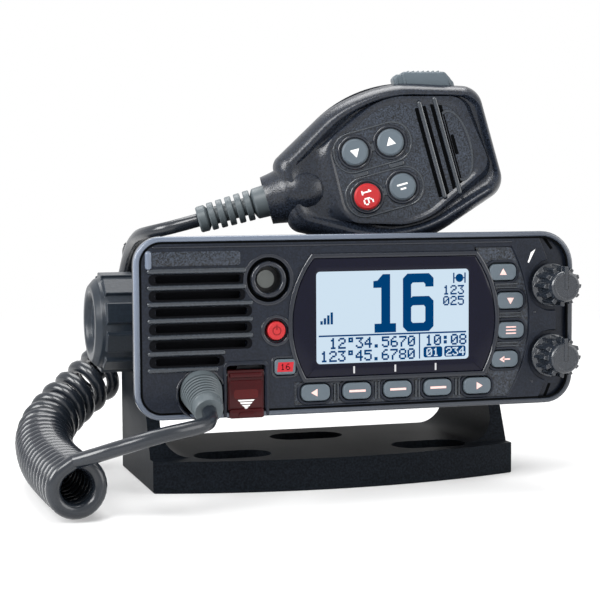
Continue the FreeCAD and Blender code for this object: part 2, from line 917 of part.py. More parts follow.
def board_outline(spare):
    """The stepped outline that the key mat and the front board share."""
    left, notch = as_size(-46.2), as_size(-37.4)
    low, high = -D.hood_bottom + D.skin + 0.3, D.chassis_top - D.skin - 0.4
    notch_top = as_size(-18.5)
    right = D.hood_right - D.skin - spare
    return [
        (left, low),
        (right, low),
        (right, high),
        (notch, high),
        (notch, notch_top),
        (left, notch_top),
    ]


def make_boards():
    lcd_hole = oblong(D.dial_x - D.lcd_offset, D.lcd_rise, D.lcd_width + 3, D.lcd_height + 3, as_size(1))
    mat = face_plate(
        "mat", D.mat_depth, D.mat_thickness, (polygon, board_outline(as_size(13.5))), (rounded, lcd_hole)
    )
    keep("key_mat", mat)
    board = face_plate(
        "board", D.mat_depth + D.mat_thickness + 0.1, D.board_thickness, (
            polygon, board_outline(as_size(2.5))
        )
    )
    keep("front_board", board)
    inner = D.chassis_width / 2 - D.chassis_wall - 0.2
    start = D.neck_depth + 3
    main = block(
        "main",
        (-inner, inner),
        (fy(start), fy(start + D.main_board_length)),
        (fz(-D.main_board_drop), fz(D.board_thickness - D.main_board_drop)),
    )
    keep("main_board", main)
    module = block(
        "rf_can",
        (-D.amplifier_left, D.amplifier_right),
        (fy(start + D.amplifier_start), fy(start + D.amplifier_start + D.amplifier_length)),
        (
            fz(D.board_thickness - D.main_board_drop),
            fz(D.board_thickness - D.main_board_drop + D.amplifier_height),
        ),
    )
    keep("power_amplifier", module)


make_keys()
make_boards()

# ---------------------------------------------------------------- speaker behind the grille


def make_speaker():
    at = (-D.speaker_x, fy(BEHIND_WALL), fz(D.speaker_rise))
    rim, throat, back = D.speaker_radius, D.magnet_radius + 0.6, D.speaker_depth - 3.8
    basket = [
        (rim - 1.2, 0),
        (rim, 0),
        (rim, 1.4),
        (throat, back),
        (3.5, back),
        (3.5, back - 1),
        (throat - 0.6, back - 1),
        (rim - 1.2, 0.9),
    ]
    keep("speaker_frame", turned("speaker_basket", basket, at, TO_Y))
    cone = [
        (0, 1.9),
        (2.4, 2.1),
        (4.3, 3.2),
        (rim - 1.9, 0.1),
        (rim - 1.4, 0.1),
        (rim - 1.4, 0.8),
        (rim - 2.2, 0.8),
        (3.2, 4.4),
        (3.2, back - 0.2),
        (2.8, back - 0.2),
        (2.8, 2.9),
        (0, 2.5),
    ]
    keep("speaker_cone", turned("cone", cone, at, TO_Y))
    keep(
        "speaker_magnet",
        rod(
            "magnet",
            D.magnet_radius,
            3.8,
            (-D.speaker_x, fy(BEHIND_WALL + back), fz(D.speaker_rise)),
            TO_Y,
        ),
    )


make_speaker()

# ---------------------------------------------------------------- round port


def make_port():
    at = (-D.port_x, fy(-0.4), fz(D.port_rise))
    outer, bore = D.port_radius, D.port_bore
    ring = [
        (bore + 0.5, 0),
        (outer - 0.3, 0),
        (outer, 0.4),
        (outer, 6),
        (1.5, 6),
        (1.5, 5),
        (bore, 5),
        (bore, 1.2),
    ]
    keep("port_ring", turned("ring", ring, at, TO_Y))
    keep("port_cap", rod("cap", D.port_cap_radius, 0.9, (-D.port_x, fy(3.7), fz(D.port_rise)), TO_Y))


make_port()

# ---------------------------------------------------------------- covered button


def make_guard():
    left, right = GUARD_LEFT + D.cover_gap, GUARD_RIGHT - D.cover_gap
    pin = (fy(D.cover_pin_depth), fz(-D.cover_pin_drop))
    front = 0.4
    door = block(
        "door",
        (left, right),
        (fy(front), fy(front + D.cover_thickness)),
        (fz(-HALF_FACE - 0.3), fz(-D.guard_top - 1.6)),
    )
    knuckle = rod(
        "knuckle", D.cover_pin_radius + 0.9, D.guard_width - D.cover_gap * 2, (left, *pin), TO_RIGHT
    )
    tab = block(
        "tab", (-D.guard_x - 3.4, -D.guard_x + 3.4), (fy(front - 0.6), fy(front + 0.1)), (
            fz(-HALF_FACE), fz(-HALF_FACE + 1.3)
        )
    )
    bore = rod(
        "knuckle_bore",
        D.cover_pin_radius + D.running_gap,
        D.guard_width,
        (GUARD_LEFT, *pin),
        TO_RIGHT,
    )
    keep("button_cover", cut("cover", fuse("cover_solid", door, knuckle, tab), bore))
    keep(
        "cover_pin",
        rod("hinge_pin", D.cover_pin_radius, D.guard_width + 1.8, (GUARD_LEFT - 0.9, *pin), TO_RIGHT),
    )

    half = D.alarm_size / 2
    cap = block(
        "alarm_cap",
        (-D.guard_x - half, -D.guard_x + half),
        (fy(2.2), fy(3.1)),
        (fz(-D.alarm_drop - half), fz(-D.alarm_drop + half)),
    )
    stem_radius = D.alarm_size / 3 - D.seat_gap
    floor = D.guard_pocket + POCKET_FLOOR
    stem = rod(
        "alarm_stem", stem_radius, floor + 1 - 2.6, (-D.guard_x, fy(2.6), fz(-D.alarm_drop)), TO_Y
    )
    catch = rod(
        "alarm_catch", stem_radius + 1, 0.8, (-D.guard_x, fy(floor + 0.1), fz(-D.alarm_drop)), TO_Y
    )
    keep("alarm_button", fuse("alarm", cap, stem, catch))


make_guard()

# ---------------------------------------------------------------- gland of the microphone cord


def gland_axis():
    droop = math.radians(num(D.gland_droop))
    return Vector(0, -math.cos(droop), -math.sin(droop))


GLAND_BEND = D.strip_step - D.gland_radius * sine(D.gland_droop)


def gland_tip():
    bend = Vector(-num(D.gland_x), num(fy(GLAND_BEND)), num(fz(-D.gland_drop)))
    return bend + gland_axis() * num(D.gland_length)


def make_gland():
    x, z = -D.gland_x, fz(-D.gland_drop)
    flange = rod("gland_flange", D.gland_hole + 0.8, 1.8, (x, fy(D.bezel_wall), z), TO_Y)
    plug = rod("gland_plug", D.gland_hole - 0.05, D.bezel_wall, (x, fy(D.strip_step), z), TO_Y)
    base = rod("gland_base", D.gland_radius, D.strip_step - GLAND_BEND, (x, fy(GLAND_BEND), z), TO_Y)
    knee = add("Sphere", "gland_knee", (x, fy(GLAND_BEND), z), Radius=D.gland_radius + 0.05)
    knee_limit = block(
        "gland_knee_limit",
        (x - D.gland_radius * 2, x + D.gland_radius * 2),
        (fy(-20), fy(D.strip_step - 0.4)),
        (z - D.gland_radius * 2, z + D.gland_radius * 2),
    )
    boot = add(
        "Cone",
        "gland_boot",
        (x, fy(GLAND_BEND), z),
        Rotation(Vector(0, 0, 1), gland_axis()),
        Radius1=D.gland_radius,
        Radius2=D.gland_tip_radius,
        Height=D.gland_length,
    )
    keep("cord_gland", fuse("gland", flange, plug, base, common("gland_ball", knee, knee_limit), boot))


make_gland()

# ---------------------------------------------------------------- volume and squelch knobs

KNOB_RIBS = 12


def control_knob(label, rise):
    """A knob with a thin flange, raised ribs, a flat face and a pointer; its bore holds the shaft."""
    back = D.strip_step - D.seat_gap
    height = D.knob_reach + back
    body = new_body(label, (D.knob_x, fy(back), fz(rise)), TO_FRONT)
    section = new_sketch(body, "XZ_Plane", f"{label}_section")
    bore = D.shaft_radius + 0.02
    profile = [
        (bore, 0),
        (D.knob_flange_radius, 0),
        (D.knob_flange_radius, 1.2),
        (D.knob_radius - 0.6, 2.0),
        (D.knob_face_radius + 0.5, height - 0.6),
        (D.knob_face_radius, height),
        (0, height),
        (0, height - 3.6),
        (bore, height - 3.6),
    ]
    polygon(section, profile)
    core = body.newObject("PartDesign::Revolution", f"{label}_core")
    core.Profile, core.ReferenceAxis, core.Angle = section, (section, ["V_Axis"]), 360
    pointer = new_sketch(body, "XY_Plane", f"{label}_pointer", height - 2.4)
    reach = D.knob_radius + 0.3
    polygon(pointer, [(-0.7, -1.0), (0.7, -1.0), (0.7, reach), (-0.7, reach)])
    pad(body, pointer, as_size(2.7), f"{label}_pointer_pad")
    rib = new_sketch(body, "XY_Plane", f"{label}_rib", as_size(1.0))
    root = D.knob_face_radius - 0.6
    polygon(rib, [(root, -0.9), (D.knob_radius + 0.1, -0.9), (D.knob_radius + 0.5, 0.5), (root, 0.9)])
    rib_pad = pad(body, rib, height - 3.6, f"{label}_rib_pad")
    around(body, rib_pad, KNOB_RIBS, f"{label}_ribs")
    keep(label, body)


def make_controls():
    for name, rise in (("volume", D.volume_rise), ("squelch", -D.squelch_drop)):
        control_knob(f"{name}_knob", rise)
        back = D.strip_step - D.seat_gap
        front = -D.knob_reach + 3.7
        keep(
            f"{name}_shaft",
            rod(
                f"{name}_rod",
                D.shaft_radius,
                D.mat_depth + 0.6 - front,
                (D.knob_x, fy(front), fz(rise)),
                TO_Y,
            ),
        )
        del back
    pots = []
    for name, rise in (("volume", D.volume_rise), ("squelch", -D.squelch_drop)):
        can = face_disc(f"{name}_can", D.knob_x, rise, D.pot_radius, BEHIND_WALL, D.pot_depth)
        bore = face_disc(
            f"{name}_bore",
            D.knob_x,
            rise,
            D.shaft_radius + D.running_gap,
            D.bezel_wall - 1,
            D.pot_depth + 0.6,
        )
        pots.append(cut(f"{name}_pot", can, bore))
    both = doc.addObject("Part::Compound", "pots")
    both.Links = pots
    keep("control_pots", both)


make_controls()

# ---------------------------------------------------------------- chassis, its gasket and screws

CHASSIS_START = D.neck_depth + D.gasket_thickness
CHASSIS_END = CHASSIS_START + D.chassis_depth
INNER_BOSS = 6.5
FIN_COUNT = 8


def frame_loop(inset, radius):
    """The outline that the neck, the gasket and the chassis share, drawn in by an inset."""
    half, low, high = D.chassis_width / 2 - inset, -D.chassis_bottom + inset, D.chassis_top - inset
    return [(-half, low, radius), (half, low, radius), (half, high, radius), (-half, high, radius)]


def make_chassis():
    wall = D.chassis_wall
    case = face_plate(
        "case", CHASSIS_START, D.chassis_depth, (rounded, frame_loop(as_size(0), as_size(4)))
    )
    room = face_plate(
        "case_room",
        CHASSIS_START - 1,
        D.chassis_depth + 1 - wall,
        (rounded, frame_loop(wall, as_size(2))),
    )
    shell = cut("case_shell", case, room)
    additions, bores = [], []
    axis_at = (0, D.tilt_height)
    for side, sign, turn in (("left", -1, TO_LEFT), ("right", 1, TO_RIGHT)):
        wall_x = (D.chassis_width / 2 - 1) * sign
        reach = BOSS_FACE - D.chassis_width / 2 + 1
        additions.append(rod(f"{side}_boss", D.boss_radius, reach, (wall_x, *axis_at), turn))
        inner_x = (STUD_END - 2) * sign
        additions.append(
            rod(
                f"{side}_inner_boss",
                as_size(INNER_BOSS),
                BOSS_FACE - STUD_END,
                (inner_x, *axis_at),
                turn,
            ),
        )
        bore_x = (STUD_END - 0.5) * sign
        bores.append(
            rod(
                f"{side}_stud_bore",
                D.stud_radius + D.running_gap,
                as_size(20),
                (bore_x, *axis_at),
                turn,
            ),
        )
    fin_pitch = (D.chassis_width - D.fin_left - D.fin_right) / (FIN_COUNT - 1)
    for index in range(FIN_COUNT):
        x = fin_pitch * index - D.chassis_width / 2 + D.fin_left
        additions.append(
            block(
                f"fin_{index + 1}",
                (x, x + D.fin_thickness),
                (fy(CHASSIS_END - 1), fy(CHASSIS_END + D.fin_depth)),
                (fz(-D.chassis_bottom + 4), fz(D.chassis_top - 4)),
            )
        )
    for n, (x, z) in enumerate(POST_SIDES, 1):
        additions.append(
            block(f"case_post_{n}", *corner_block(x, z, (fy(CHASSIS_START), fy(CHASSIS_END - 1)))),
        )
    for n, (x, z) in enumerate(screw_places(), 1):
        hole = rod(
            f"case_screw_hole_{n}",
            as_size(SCREW_SHANK) + 0.05,
            D.chassis_depth + 2,
            (x, fy(CHASSIS_START - 1), z),
            TO_Y,
        )
        bores.append(hole)
    keep("rear_chassis", cut("chassis", fuse("chassis_solid", shell, *additions), *bores))

    gasket = face_plate(
        "gasket_ring",
        D.neck_depth,
        D.gasket_thickness,
        (rounded, frame_loop(as_size(0.4), as_size(4))),
        (rounded, frame_loop(wall, as_size(2))),
    )
    keep("case_gasket", gasket)

    screws = []
    for n, (x, z) in enumerate(screw_places(), 1):
        shank_start = D.hood_depth + 1.5
        length = CHASSIS_END - shank_start
        profile = [
            (0, 0),
            (SCREW_SHANK, 0),
            (SCREW_SHANK, length),
            (SCREW_HEAD, length),
            (SCREW_HEAD, length + 1.6),
            (SCREW_HEAD - 0.6, length + 2.2),
            (0, length + 2.2),
        ]
        screws.append(turned(f"case_screw_{n}", profile, (x, fy(shank_start), z), TO_Y))
    group = doc.addObject("Part::Compound", "screws")
    group.Links = screws
    keep("case_screws", group)


make_chassis()

# ---------------------------------------------------------------- sockets and grommets at the rear


def make_rear():
    at = (D.chassis_width / 2 - D.antenna_inset, fy(CHASSIS_END), fz(8))
    outer, length = D.antenna_radius, D.antenna_length
    bore = outer - 1.7
    socket = [(bore, 0), (outer + 3.2, 0), (outer + 3.2, 2), (outer, 2), (outer, length), (bore, length)]
    keep("antenna_socket", turned("socket", socket, at, TO_Y))
    insulator = [(1.9, 0), (bore - 0.02, 0), (bore - 0.02, length - 3), (1.9, length - 3)]
    keep("socket_insulator", turned("insulator", insulator, at, TO_Y))
    radius = D.grommet_radius
    grommet = [(1.5, 0), (radius, 0), (radius, 3), (radius - 1.6, 3.6), (radius - 2.4, 9), (1.5, 9)]
    first_x = D.chassis_width / 2 - D.grommet_inset - D.grommet_radius
    pair = []
    for n in range(2):
        at = (first_x + D.grommet_pitch * n, fy(CHASSIS_END), fz(-12))
        pair.append(turned(f"grommet_{n + 1}", grommet, at, TO_Y))
    both = doc.addObject("Part::Compound", "grommets")
    both.Links = pair
    keep("rear_grommets", both)


make_rear()

# ---------------------------------------------------------------- tilt knobs, studs and washers

KNOB_LOBES = 10


def make_tilt_knobs():
    height = D.tilt_knob_length
    bore, depth = D.stud_radius + 0.02, D.tilt_knob_length * D.knob_socket_share
    wall = D.tilt_knob_radius - 1.5
    profile = [
        (bore, 0),
        (wall - 1.8, 0),
        (wall, 1.0),
        (wall, height - 5),
        (wall - 0.9, height - 2),
        (wall - 3.2, height),
        (D.dish_radius + 0.7, height),
        (D.dish_radius, height - 0.6),
        (D.dish_radius - 1.2, height - D.dish_depth),
        (0, height - D.dish_depth),
        (0, depth),
        (bore, depth),
    ]
    washers = []
    for side, sign, turn in (("left", -1, TO_LEFT), ("right", 1, TO_RIGHT)):
        x = (ARM_OUT + D.seat_gap) * sign
        body = turned(f"{side}_tilt_knob", profile, (x, 0, D.tilt_height), turn)
        lobe = new_sketch(body, "XY_Plane", f"{side}_lobe", as_size(0.7))
        rim = D.tilt_knob_radius
        polygon(lobe, [(wall - 2, -4.4), (rim - 0.9, -4.4), (rim - 0.2, 2.6), (wall - 2, 3.4)])
        lobe_pad = pad(body, lobe, height - 4.2, f"{side}_lobe_pad")
        around(body, lobe_pad, KNOB_LOBES, f"{side}_lobes")
        keep(f"{side}_tilt_knob", body)
        inner = STUD_END * sign
        keep(
            f"{side}_stud",
            rod(
                f"{side}_stud_rod",
                D.stud_radius,
                ARM_OUT + D.seat_gap + depth - 0.1 - STUD_END,
                (inner, 0, D.tilt_height),
                turn,
            ),
        )
        disc = rod(
            f"{side}_washer_disc",
            D.boss_radius - 0.5,
            ARM_IN - 0.1 - BOSS_FACE,
            (BOSS_FACE * sign, 0, D.tilt_height),
            turn,
        )
        hole = rod(
            f"{side}_washer_hole",
            D.stud_radius + D.seat_gap,
            as_size(3),
            ((BOSS_FACE - 1) * sign, 0, D.tilt_height),
            turn,
        )
        washers.append(cut(f"{side}_washer", disc, hole))
    both = doc.addObject("Part::Compound", "washers")
    both.Links = washers
    keep("tilt_washers", both)


make_tilt_knobs()


# ---------------------------------------------------------------- hand microphone

YAW, LEAN = math.radians(num(D.mic_yaw)), math.radians(num(D.mic_lean))
MIC_AT = Vector(-num(D.mic_x), -num(D.mic_y), num(D.tilt_height + D.mic_above_axis))
MIC_OUT = Vector(-math.sin(YAW), -math.cos(YAW), 0)
SIDEWAYS = Vector(math.cos(YAW), -math.sin(YAW), 0)
MIC_U = SIDEWAYS * math.cos(LEAN) + Vector(0, 0, 1) * math.sin(LEAN)
MIC_V = SIDEWAYS * -math.sin(LEAN) + Vector(0, 0, 1) * math.cos(LEAN)
MIC_TURN = Rotation(MIC_U, MIC_V, MIC_OUT, "ZXY")


def mic_point(u, v, out):
    """A point of the microphone: along it, across it, and out of its face, in millimetres."""
    return MIC_AT + MIC_U * num(u) + MIC_V * num(v) + MIC_OUT * num(out)


def mic_corners(inset):
    end, start = D.mic_end - inset, D.mic_start + inset
    crown, end_v, start_v = D.mic_crown_v - inset, D.mic_end_v - inset, D.mic_start_v - inset
    small, crown_radius = as_size(5 if num(inset) < 3 else 3), D.mic_crown_radius - inset
    return [
        (start, -start_v, small),
        (D.mic_crown_u, -crown, crown_radius),
        (end, -end_v, small + 2),
        (end, end_v, small + 2),
        (D.mic_crown_u, crown, crown_radius),
        (start, start_v, small),
    ]


def mic_body(name, out):
    return new_body(name, tuple(mic_point(0, 0, out)), MIC_TURN)


def mic_plate(name, start, end, *loops):
    """A plate of the microphone between two distances in front of its seam."""
    body = mic_body(name, start)
    sketch = new_sketch(body, "XY_Plane", f"{name}_outline")
    for draw, *about in loops:
        draw(sketch, *about)
    pad(body, sketch, as_size(end) - start, f"{name}_pad")
    return body


def mic_loft(name, near, near_inset, far, far_inset):
    """A solid whose outline shrinks from one distance in front of the seam to another."""
    body = mic_body(name, 0)
    sketches = []
    for place_name, out, inset in (("near", near, near_inset), ("far", far, far_inset)):
        sketch = new_sketch(body, "XY_Plane", f"{name}_{place_name}", out)
        rounded(sketch, mic_corners(inset))
        sketches.append(sketch)
    loft = body.newObject("PartDesign::AdditiveLoft", f"{name}_loft")
    loft.Profile, loft.Sections = sketches[0], sketches[1:]
    loft.Ruled = True
    body.Tip = loft
    return body


def mic_rod(name, u, v, start, end, radius):
    return rod(name, radius, as_size(end) - start, tuple(mic_point(u, v, start)), MIC_TURN)


def mic_box(name, u, v, out):
    """A box in the microphone's own directions, from three pairs of low and high."""
    length, width, height = [as_size(high) - low for low, high in (u, v, out)]
    return add(
        "Box",
        name,
        tuple(mic_point(u[0], v[0], out[0])),
        MIC_TURN,
        Length=length,
        Width=width,
        Height=height,
    )


def solid_feature(name, shape):
    feature = doc.addObject("Part::Feature", name)
    feature.Shape = shape
    return feature


def mic_keys():
    along, across = D.mic_key_pitch_u / 2, D.mic_key_pitch_v / 2
    return [
        ("mic_down_key", D.mic_key_u - along, across),
        ("mic_up_key", D.mic_key_u + along, across),
        ("mic_red_key", D.mic_key_u - along, -across),
        ("mic_grey_key", D.mic_key_u + along, -across),
    ]


MIC_INSET = {"front": 3.2, "rear": 6.0}  # how much smaller each half is at its outer face
SEAM = 0.4  # half the seal's thickness
ALONG_MIC = Rotation(Vector(0, 0, 1), MIC_U)
CORD_OUT = -6.0  # the cord leaves behind the seam
MIC_POST, MIC_PILOT = 2.8, 1.05
MIC_RIBS = (61.5, 67.0)
MIC_SINK = 0.9  # how far the floor that carries the keys lies below the rim
MIC_SCREWS = [(74.5, -9), (74.5, 7.6), (18.5, 6), (18.5, -6)]
TALK_LOW, TALK_HIGH = -8.6, 1.4  # the talk key's two sides, in front of the seam
TALK_ENDS = (55.5, 76.8)


def mic_floor_corners():
    """The outline of the sunk floor inside the front's rim."""
    return [
        (26.2, -17.6, 5),
        (49.0, -23.6, 22),
        (80.6, -9.6, 5),
        (76.8, 18.2, 6),
        (58.0, 23.6, 24),
        (25.2, 12.2, 6),
    ]


def talk_key_outline():
    left, right = TALK_ENDS
    return [
        (left, 12.5),
        (right, 12.5),
        (right, 21.6),
        (73.6, 26.1),
        (65.7, 29.5),
        (58.4, 30.8),
        (left, 30.4),
    ]


def mic_half(side, seam, far):
    """One half of the case: its walls, with half of the boss that holds the cord's relief."""
    wall = D.mic_wall
    inset = as_size(MIC_INSET[side])
    inward = 1 if num(far) > 0 else -1
    outside = mic_loft(f"mic_{side}_outside", seam, as_size(0), far, inset)
    room = mic_loft(f"mic_{side}_room", seam * 0.9, wall, far - wall * inward, inset + wall * 0.7)
    boss = rod(
        f"{side}_boss",
        D.mic_boss_radius,
        as_size(9),
        tuple(mic_point(D.mic_start - 3, 0, CORD_OUT)),
        ALONG_MIC,
    )
    beyond = (seam, as_size(30)) if inward > 0 else (as_size(-40), seam)
    half_space = mic_box(f"{side}_half_space", (-40, 110), (-50, 50), beyond)
    both = fuse(f"mic_{side}_solid", outside, common(f"{side}_half_boss", boss, half_space))
    return cut(f"mic_{side}_walls", both, room)


def make_mic():
    front, back, wall = D.mic_front_depth, D.mic_back_depth, D.mic_wall
    hole_at = tuple(mic_point(D.mic_start - 6, 0, CORD_OUT))
    holes = [
        rod(f"relief_hole_{n}", D.relief_radius - 0.5, as_size(20), hole_at, ALONG_MIC)
        for n in range(2)
    ]
    left, right = TALK_ENDS
    talk_room = [
        mic_box(
            f"talk_room_{n}",
            (left - 0.3, right + 0.3),
            (8, 60),
            (TALK_LOW - 0.3, TALK_HIGH + 0.3),
        )
        for n in range(3)
    ]

    walls = mic_half("front", as_size(SEAM), front)
    posts = [
        mic_rod(f"mic_post_{n}", u, v, SEAM, front - wall + 0.5, MIC_POST)
        for n, (u, v) in enumerate(MIC_SCREWS)
    ]
    ribs = [
        mic_box(f"mic_rib_{n}", (u, u + 0.9), (-15.5, 17), (front - MIC_SINK - 0.3, front + 0.1))
        for n, u in enumerate(MIC_RIBS)
    ]
    pilots = [
        mic_rod(f"mic_pilot_{n}", u, v, 0, front - wall, MIC_PILOT)
        for n, (u, v) in enumerate(MIC_SCREWS)
    ]
    key_holes = [
        mic_rod(f"{label}_hole", u, v, 0, front + 2, D.mic_key_radius + D.seat_gap)
        for label, u, v in mic_keys()
    ]
    sunk = mic_plate("mic_floor", front - MIC_SINK, front + 3, (rounded, mic_floor_corners()))
    oval = mic_dish("voice_oval", 69.8, 0.8, 5.2, 11.9, num(front) - MIC_SINK - 0.7)
    beside = mic_box("voice_side", (MIC_RIBS[1] + 1.2, 78), (-14, 15), (front - 4, front + 4))
    dish = common("voice_dish", oval, beside)
    voice = mic_box("voice_slot", (69.2, 70.4), (-0.9, 3.3), (0.5, front + 2))
    floor = cut("mic_front_floor", walls, sunk)
    solid = fuse("mic_front_body", floor, *posts, *ribs)
    keep(
        "mic_front_shell",
        cut("mic_front", solid, holes[0], talk_room[0], dish, voice, *key_holes, *pilots),
    )

    walls = mic_half("rear", as_size(-SEAM), -back)
    floor = -back + wall - 0.5
    posts = [
        mic_rod(f"mic_rear_post_{n}", u, v, floor, -SEAM, MIC_POST)
        for n, (u, v) in enumerate(MIC_SCREWS)
    ]
    rests = [
        mic_rod(f"board_rest_{n}", u, v, floor, MIC_BOARD[0], 1.8)
        for n, (u, v) in enumerate([(27, -9), (27, 9), (62, -9), (62, 9)])
    ]
    shanks = [
        mic_rod(f"mic_screw_hole_{n}", u, v, -back - 1, 1, MIC_PILOT)
        for n, (u, v) in enumerate(MIC_SCREWS)
    ]
    hanger_hole = mic_rod("hanger_hole", HANGER_U, 0, -back - 1, -back + wall + 1, 2.02)
    solid = fuse("mic_rear_body", walls, *posts, *rests)
    keep("mic_rear_shell", cut("mic_rear", solid, holes[1], talk_room[1], hanger_hole, *shanks))

    ring = mic_plate(
        "seal",
        -SEAM,
        SEAM,
        (rounded, mic_corners(as_size(0.3))),
        (rounded, mic_corners(wall - 0.3)),
    )
    gap = rod("seal_gap", D.relief_radius - 0.5, as_size(20), hole_at, ALONG_MIC)
    keep("mic_seal", cut("mic_seal_ring", ring, talk_room[2], gap))

    screws = []
    for n, (u, v) in enumerate(MIC_SCREWS):
        shank = mic_rod(f"mic_screw_shank_{n}", u, v, -back - 0.2, front - wall - 1.5, 1.0)
        head = mic_rod(f"mic_screw_head_{n}", u, v, -back - 1.2, -back, 2.0)
        screws.append(fuse(f"mic_screw_{n}", shank, head))
    group = doc.addObject("Part::Compound", "mic_screw_set")
    group.Links = screws
    keep("mic_screws", group)

    radius = D.hanger_radius
    stud = [(0, 0), (2, 0), (2, 6.4), (radius, 8), (radius, 9.2), (radius - 0.8, 9.8), (0, 9.8)]
    rearward = Rotation(MIC_V, MIC_U, MIC_OUT * -1, "ZXY")
    keep("hanger_stud", turned("hanger", stud, tuple(mic_point(HANGER_U, 0, -back + wall)), rearward))
    keep("mic_board", mic_plate("mic_pcb", *MIC_BOARD, (polygon, mic_board_outline())))
    keep("mic_capsule", mic_rod("capsule", 69.8, 0.2, MIC_BOARD[1], 3.4, as_size(4.3)))


HANGER_U = 45.0
MIC_BOARD = (-3.4, -2.0)


def mic_board_outline():
    upper = [(67, -10.6), (70.8, -5), (74.6, -4), (74.6, 4.2), (70.8, 4.4), (67, 10.6)]
    return [(22, -10.6), *upper, (22, 10.6)]


def mic_dish(name, u, v, half_u, half_v, start):
    edge = Part.Ellipse(Vector(0, half_v, 0), Vector(half_u, 0, 0), Vector()).toShape()
    feature = solid_feature(name, Part.Face(Part.Wire(edge)).extrude(Vector(0, 0, 3)))
    feature.Placement = Placement(mic_point(u, v, start), MIC_TURN)
    return feature


def make_mic_keys():
    base = -0.9
    for label, u, v in mic_keys():
        radius, top = D.mic_key_radius, D.mic_front_depth + 0.6 - base
        lip = D.mic_front_depth - D.mic_wall - D.seat_gap - base
        wide = radius + 1
        profile = [
            (0, 0),
            (wide, 0),
            (wide, lip),
            (radius, lip),
            (radius, top - 0.6),
            (radius - 0.6, top),
            (0, top),
        ]
        keep(label, turned(label, profile, tuple(mic_point(u, v, base)), MIC_TURN))


def make_talk_key():
    left, right = TALK_ENDS
    bar = mic_plate("talk_bar", TALK_LOW, TALK_HIGH, (polygon, talk_key_outline()))
    lip = mic_box("talk_lip", (left - 1.2, right + 0.6), (12.1, 13.8), (TALK_LOW + 2.4, TALK_HIGH))
    keep("ptt_button", fuse("ptt", bar, lip))


def make_relief():
    radius, length = D.relief_radius, D.relief_length
    body_at = tuple(mic_point(D.mic_start - 3, 0, CORD_OUT))
    stem = radius - 0.52
    profile = [
        (0, -11.2),
        (stem + 1, -11.2),
        (stem + 1, -9.2),
        (stem, -9.2),
        (stem, 0),
        (radius, 0),
    ]
    # past its plain collar the relief is cut into rings, so that it bends with the cord
    for ring in range(5):
        groove, outer = length * (0.46 + 0.09 * ring), radius - 0.5 - 0.14 * ring
        root, end = outer - 1.3, groove + length * 0.04
        profile += [(outer, groove), (root, groove), (root, end), (outer, end)]
    profile += [(radius - 1.2, length), (0, length)]
    keep("mic_relief", turned("relief", profile, body_at, Rotation(Vector(0, 0, 1), MIC_U * -1)))


make_mic()
make_mic_keys()
make_talk_key()
make_relief()

# ---------------------------------------------------------------- the cord, in three lengths


def tube(label, route, radius, bend=0.45):
    """A round cord along straight runs joined by arcs."""
    points = [Vector(*p) for p in route]
    edges, start, least = [], points[0], 1e9
    for before, corner, after in zip(points, points[1:], points[2:]):
        back, ahead = (before - corner), (after - corner)
        half_turn = (math.pi - back.getAngle(ahead)) / 2
        reach = bend * min(back.Length, ahead.Length)
        arc_radius = reach / math.tan(half_turn)
        least = min(least, arc_radius)
        first = corner + back.normalize() * reach
        last = corner + ahead.normalize() * reach
        towards_centre = (first + last) * 0.5 - corner
        centre = corner + towards_centre.normalize() * (arc_radius / math.cos(half_turn))
        middle = centre + (corner - centre).normalize() * arc_radius
        edges.append(Part.LineSegment(start, first).toShape())
        edges.append(Part.Arc(first, middle, last).toShape())
        start = last
    edges.append(Part.LineSegment(start, points[-1]).toShape())
    path = Part.Wire(edges)
    ring = Part.Wire(Part.Circle(points[0], points[1] - points[0], radius).toShape())
    shape = path.makePipeShell([ring], True, True)
    length = sum(edge.Length for edge in edges)
    full = shape.Volume / (math.pi * radius * radius * length)
    print(f"{label}: length {length:.1f}, least bend {least:.1f}, volume {full:.4f} of a rod's")
    keep(label, solid_feature(label, shape))


def from_axis(points):
    """Route points whose heights are given from the tilt axis."""
    return [(x, y, z + num(D.tilt_height)) for x, y, z in points]


def make_cord():
    thin, fat = num(D.cord_radius), num(D.coil_radius)
    tip = gland_tip()
    lead = [tuple(tip), tuple(tip + gland_axis() * 5)]
    lead += from_axis([(-61, -79, -28.6), (-73, -83.5, -29.8), (-86, -84.5, -33.2)])
    lead += [(-95.5, -82, 20.6), (-99.2, -76, 18.9), (-99.5, -70.3, 18.3)]
    tube("cord_lead", lead, thin)
    coil = [(-99.5, -70, 11.3), (-101, -42, 11.3), (-101.5, -12, 12.3), (-99, 14, 16.5)]
    coil += [(-90, 30, 23), (-78, 39, 30.5), (-69, 45, 37)]
    tube("cord_coil", coil, fat)
    end = mic_point(D.mic_start - 3 - D.relief_length, 0, CORD_OUT)
    tail = [tuple(end), tuple(end - MIC_U * 8)]
    tail += from_axis([(-61, -2, 32.1), (-63.5, 9, 30.6), (-63.5, 19, 28.1)])
    tail += from_axis([(-63.5, 29, 22.6), (-64, 37, 13.6), (-65.5, 41, 2.6), (-67, 43, -6.4)])
    tail.append((-68.4, 45.5, 39.5))
    tube("cord_tail", tail, thin)


make_cord()

# ---------------------------------------------------------------- checks and export

doc.recompute()
bad = [o.Name for o in doc.Objects if "Invalid" in o.State or "Error" in o.State]
print("objects in a bad state:", bad)
os.makedirs("parts", exist_ok=True)
for label, thing in parts.items():
    shape = thing.Shape
    if shape.isNull() or not shape.isValid() or not shape.Solids:
        print("NOT A SOUND SOLID:", label)
        continue
    thing.Label = label
    shape.exportStep(f"parts/{label}.step")
    box = shape.BoundBox
    reach = f"x {box.XMin:.1f}..{box.XMax:.1f} y {box.YMin:.1f}..{box.YMax:.1f}"
    rise = f"z {box.ZMin:.1f}..{box.ZMax:.1f}"
    print(f"{label}: {len(shape.Solids)} solids, {shape.Volume:.1f} mm3, {reach} {rise}")
print(len(parts), "parts")
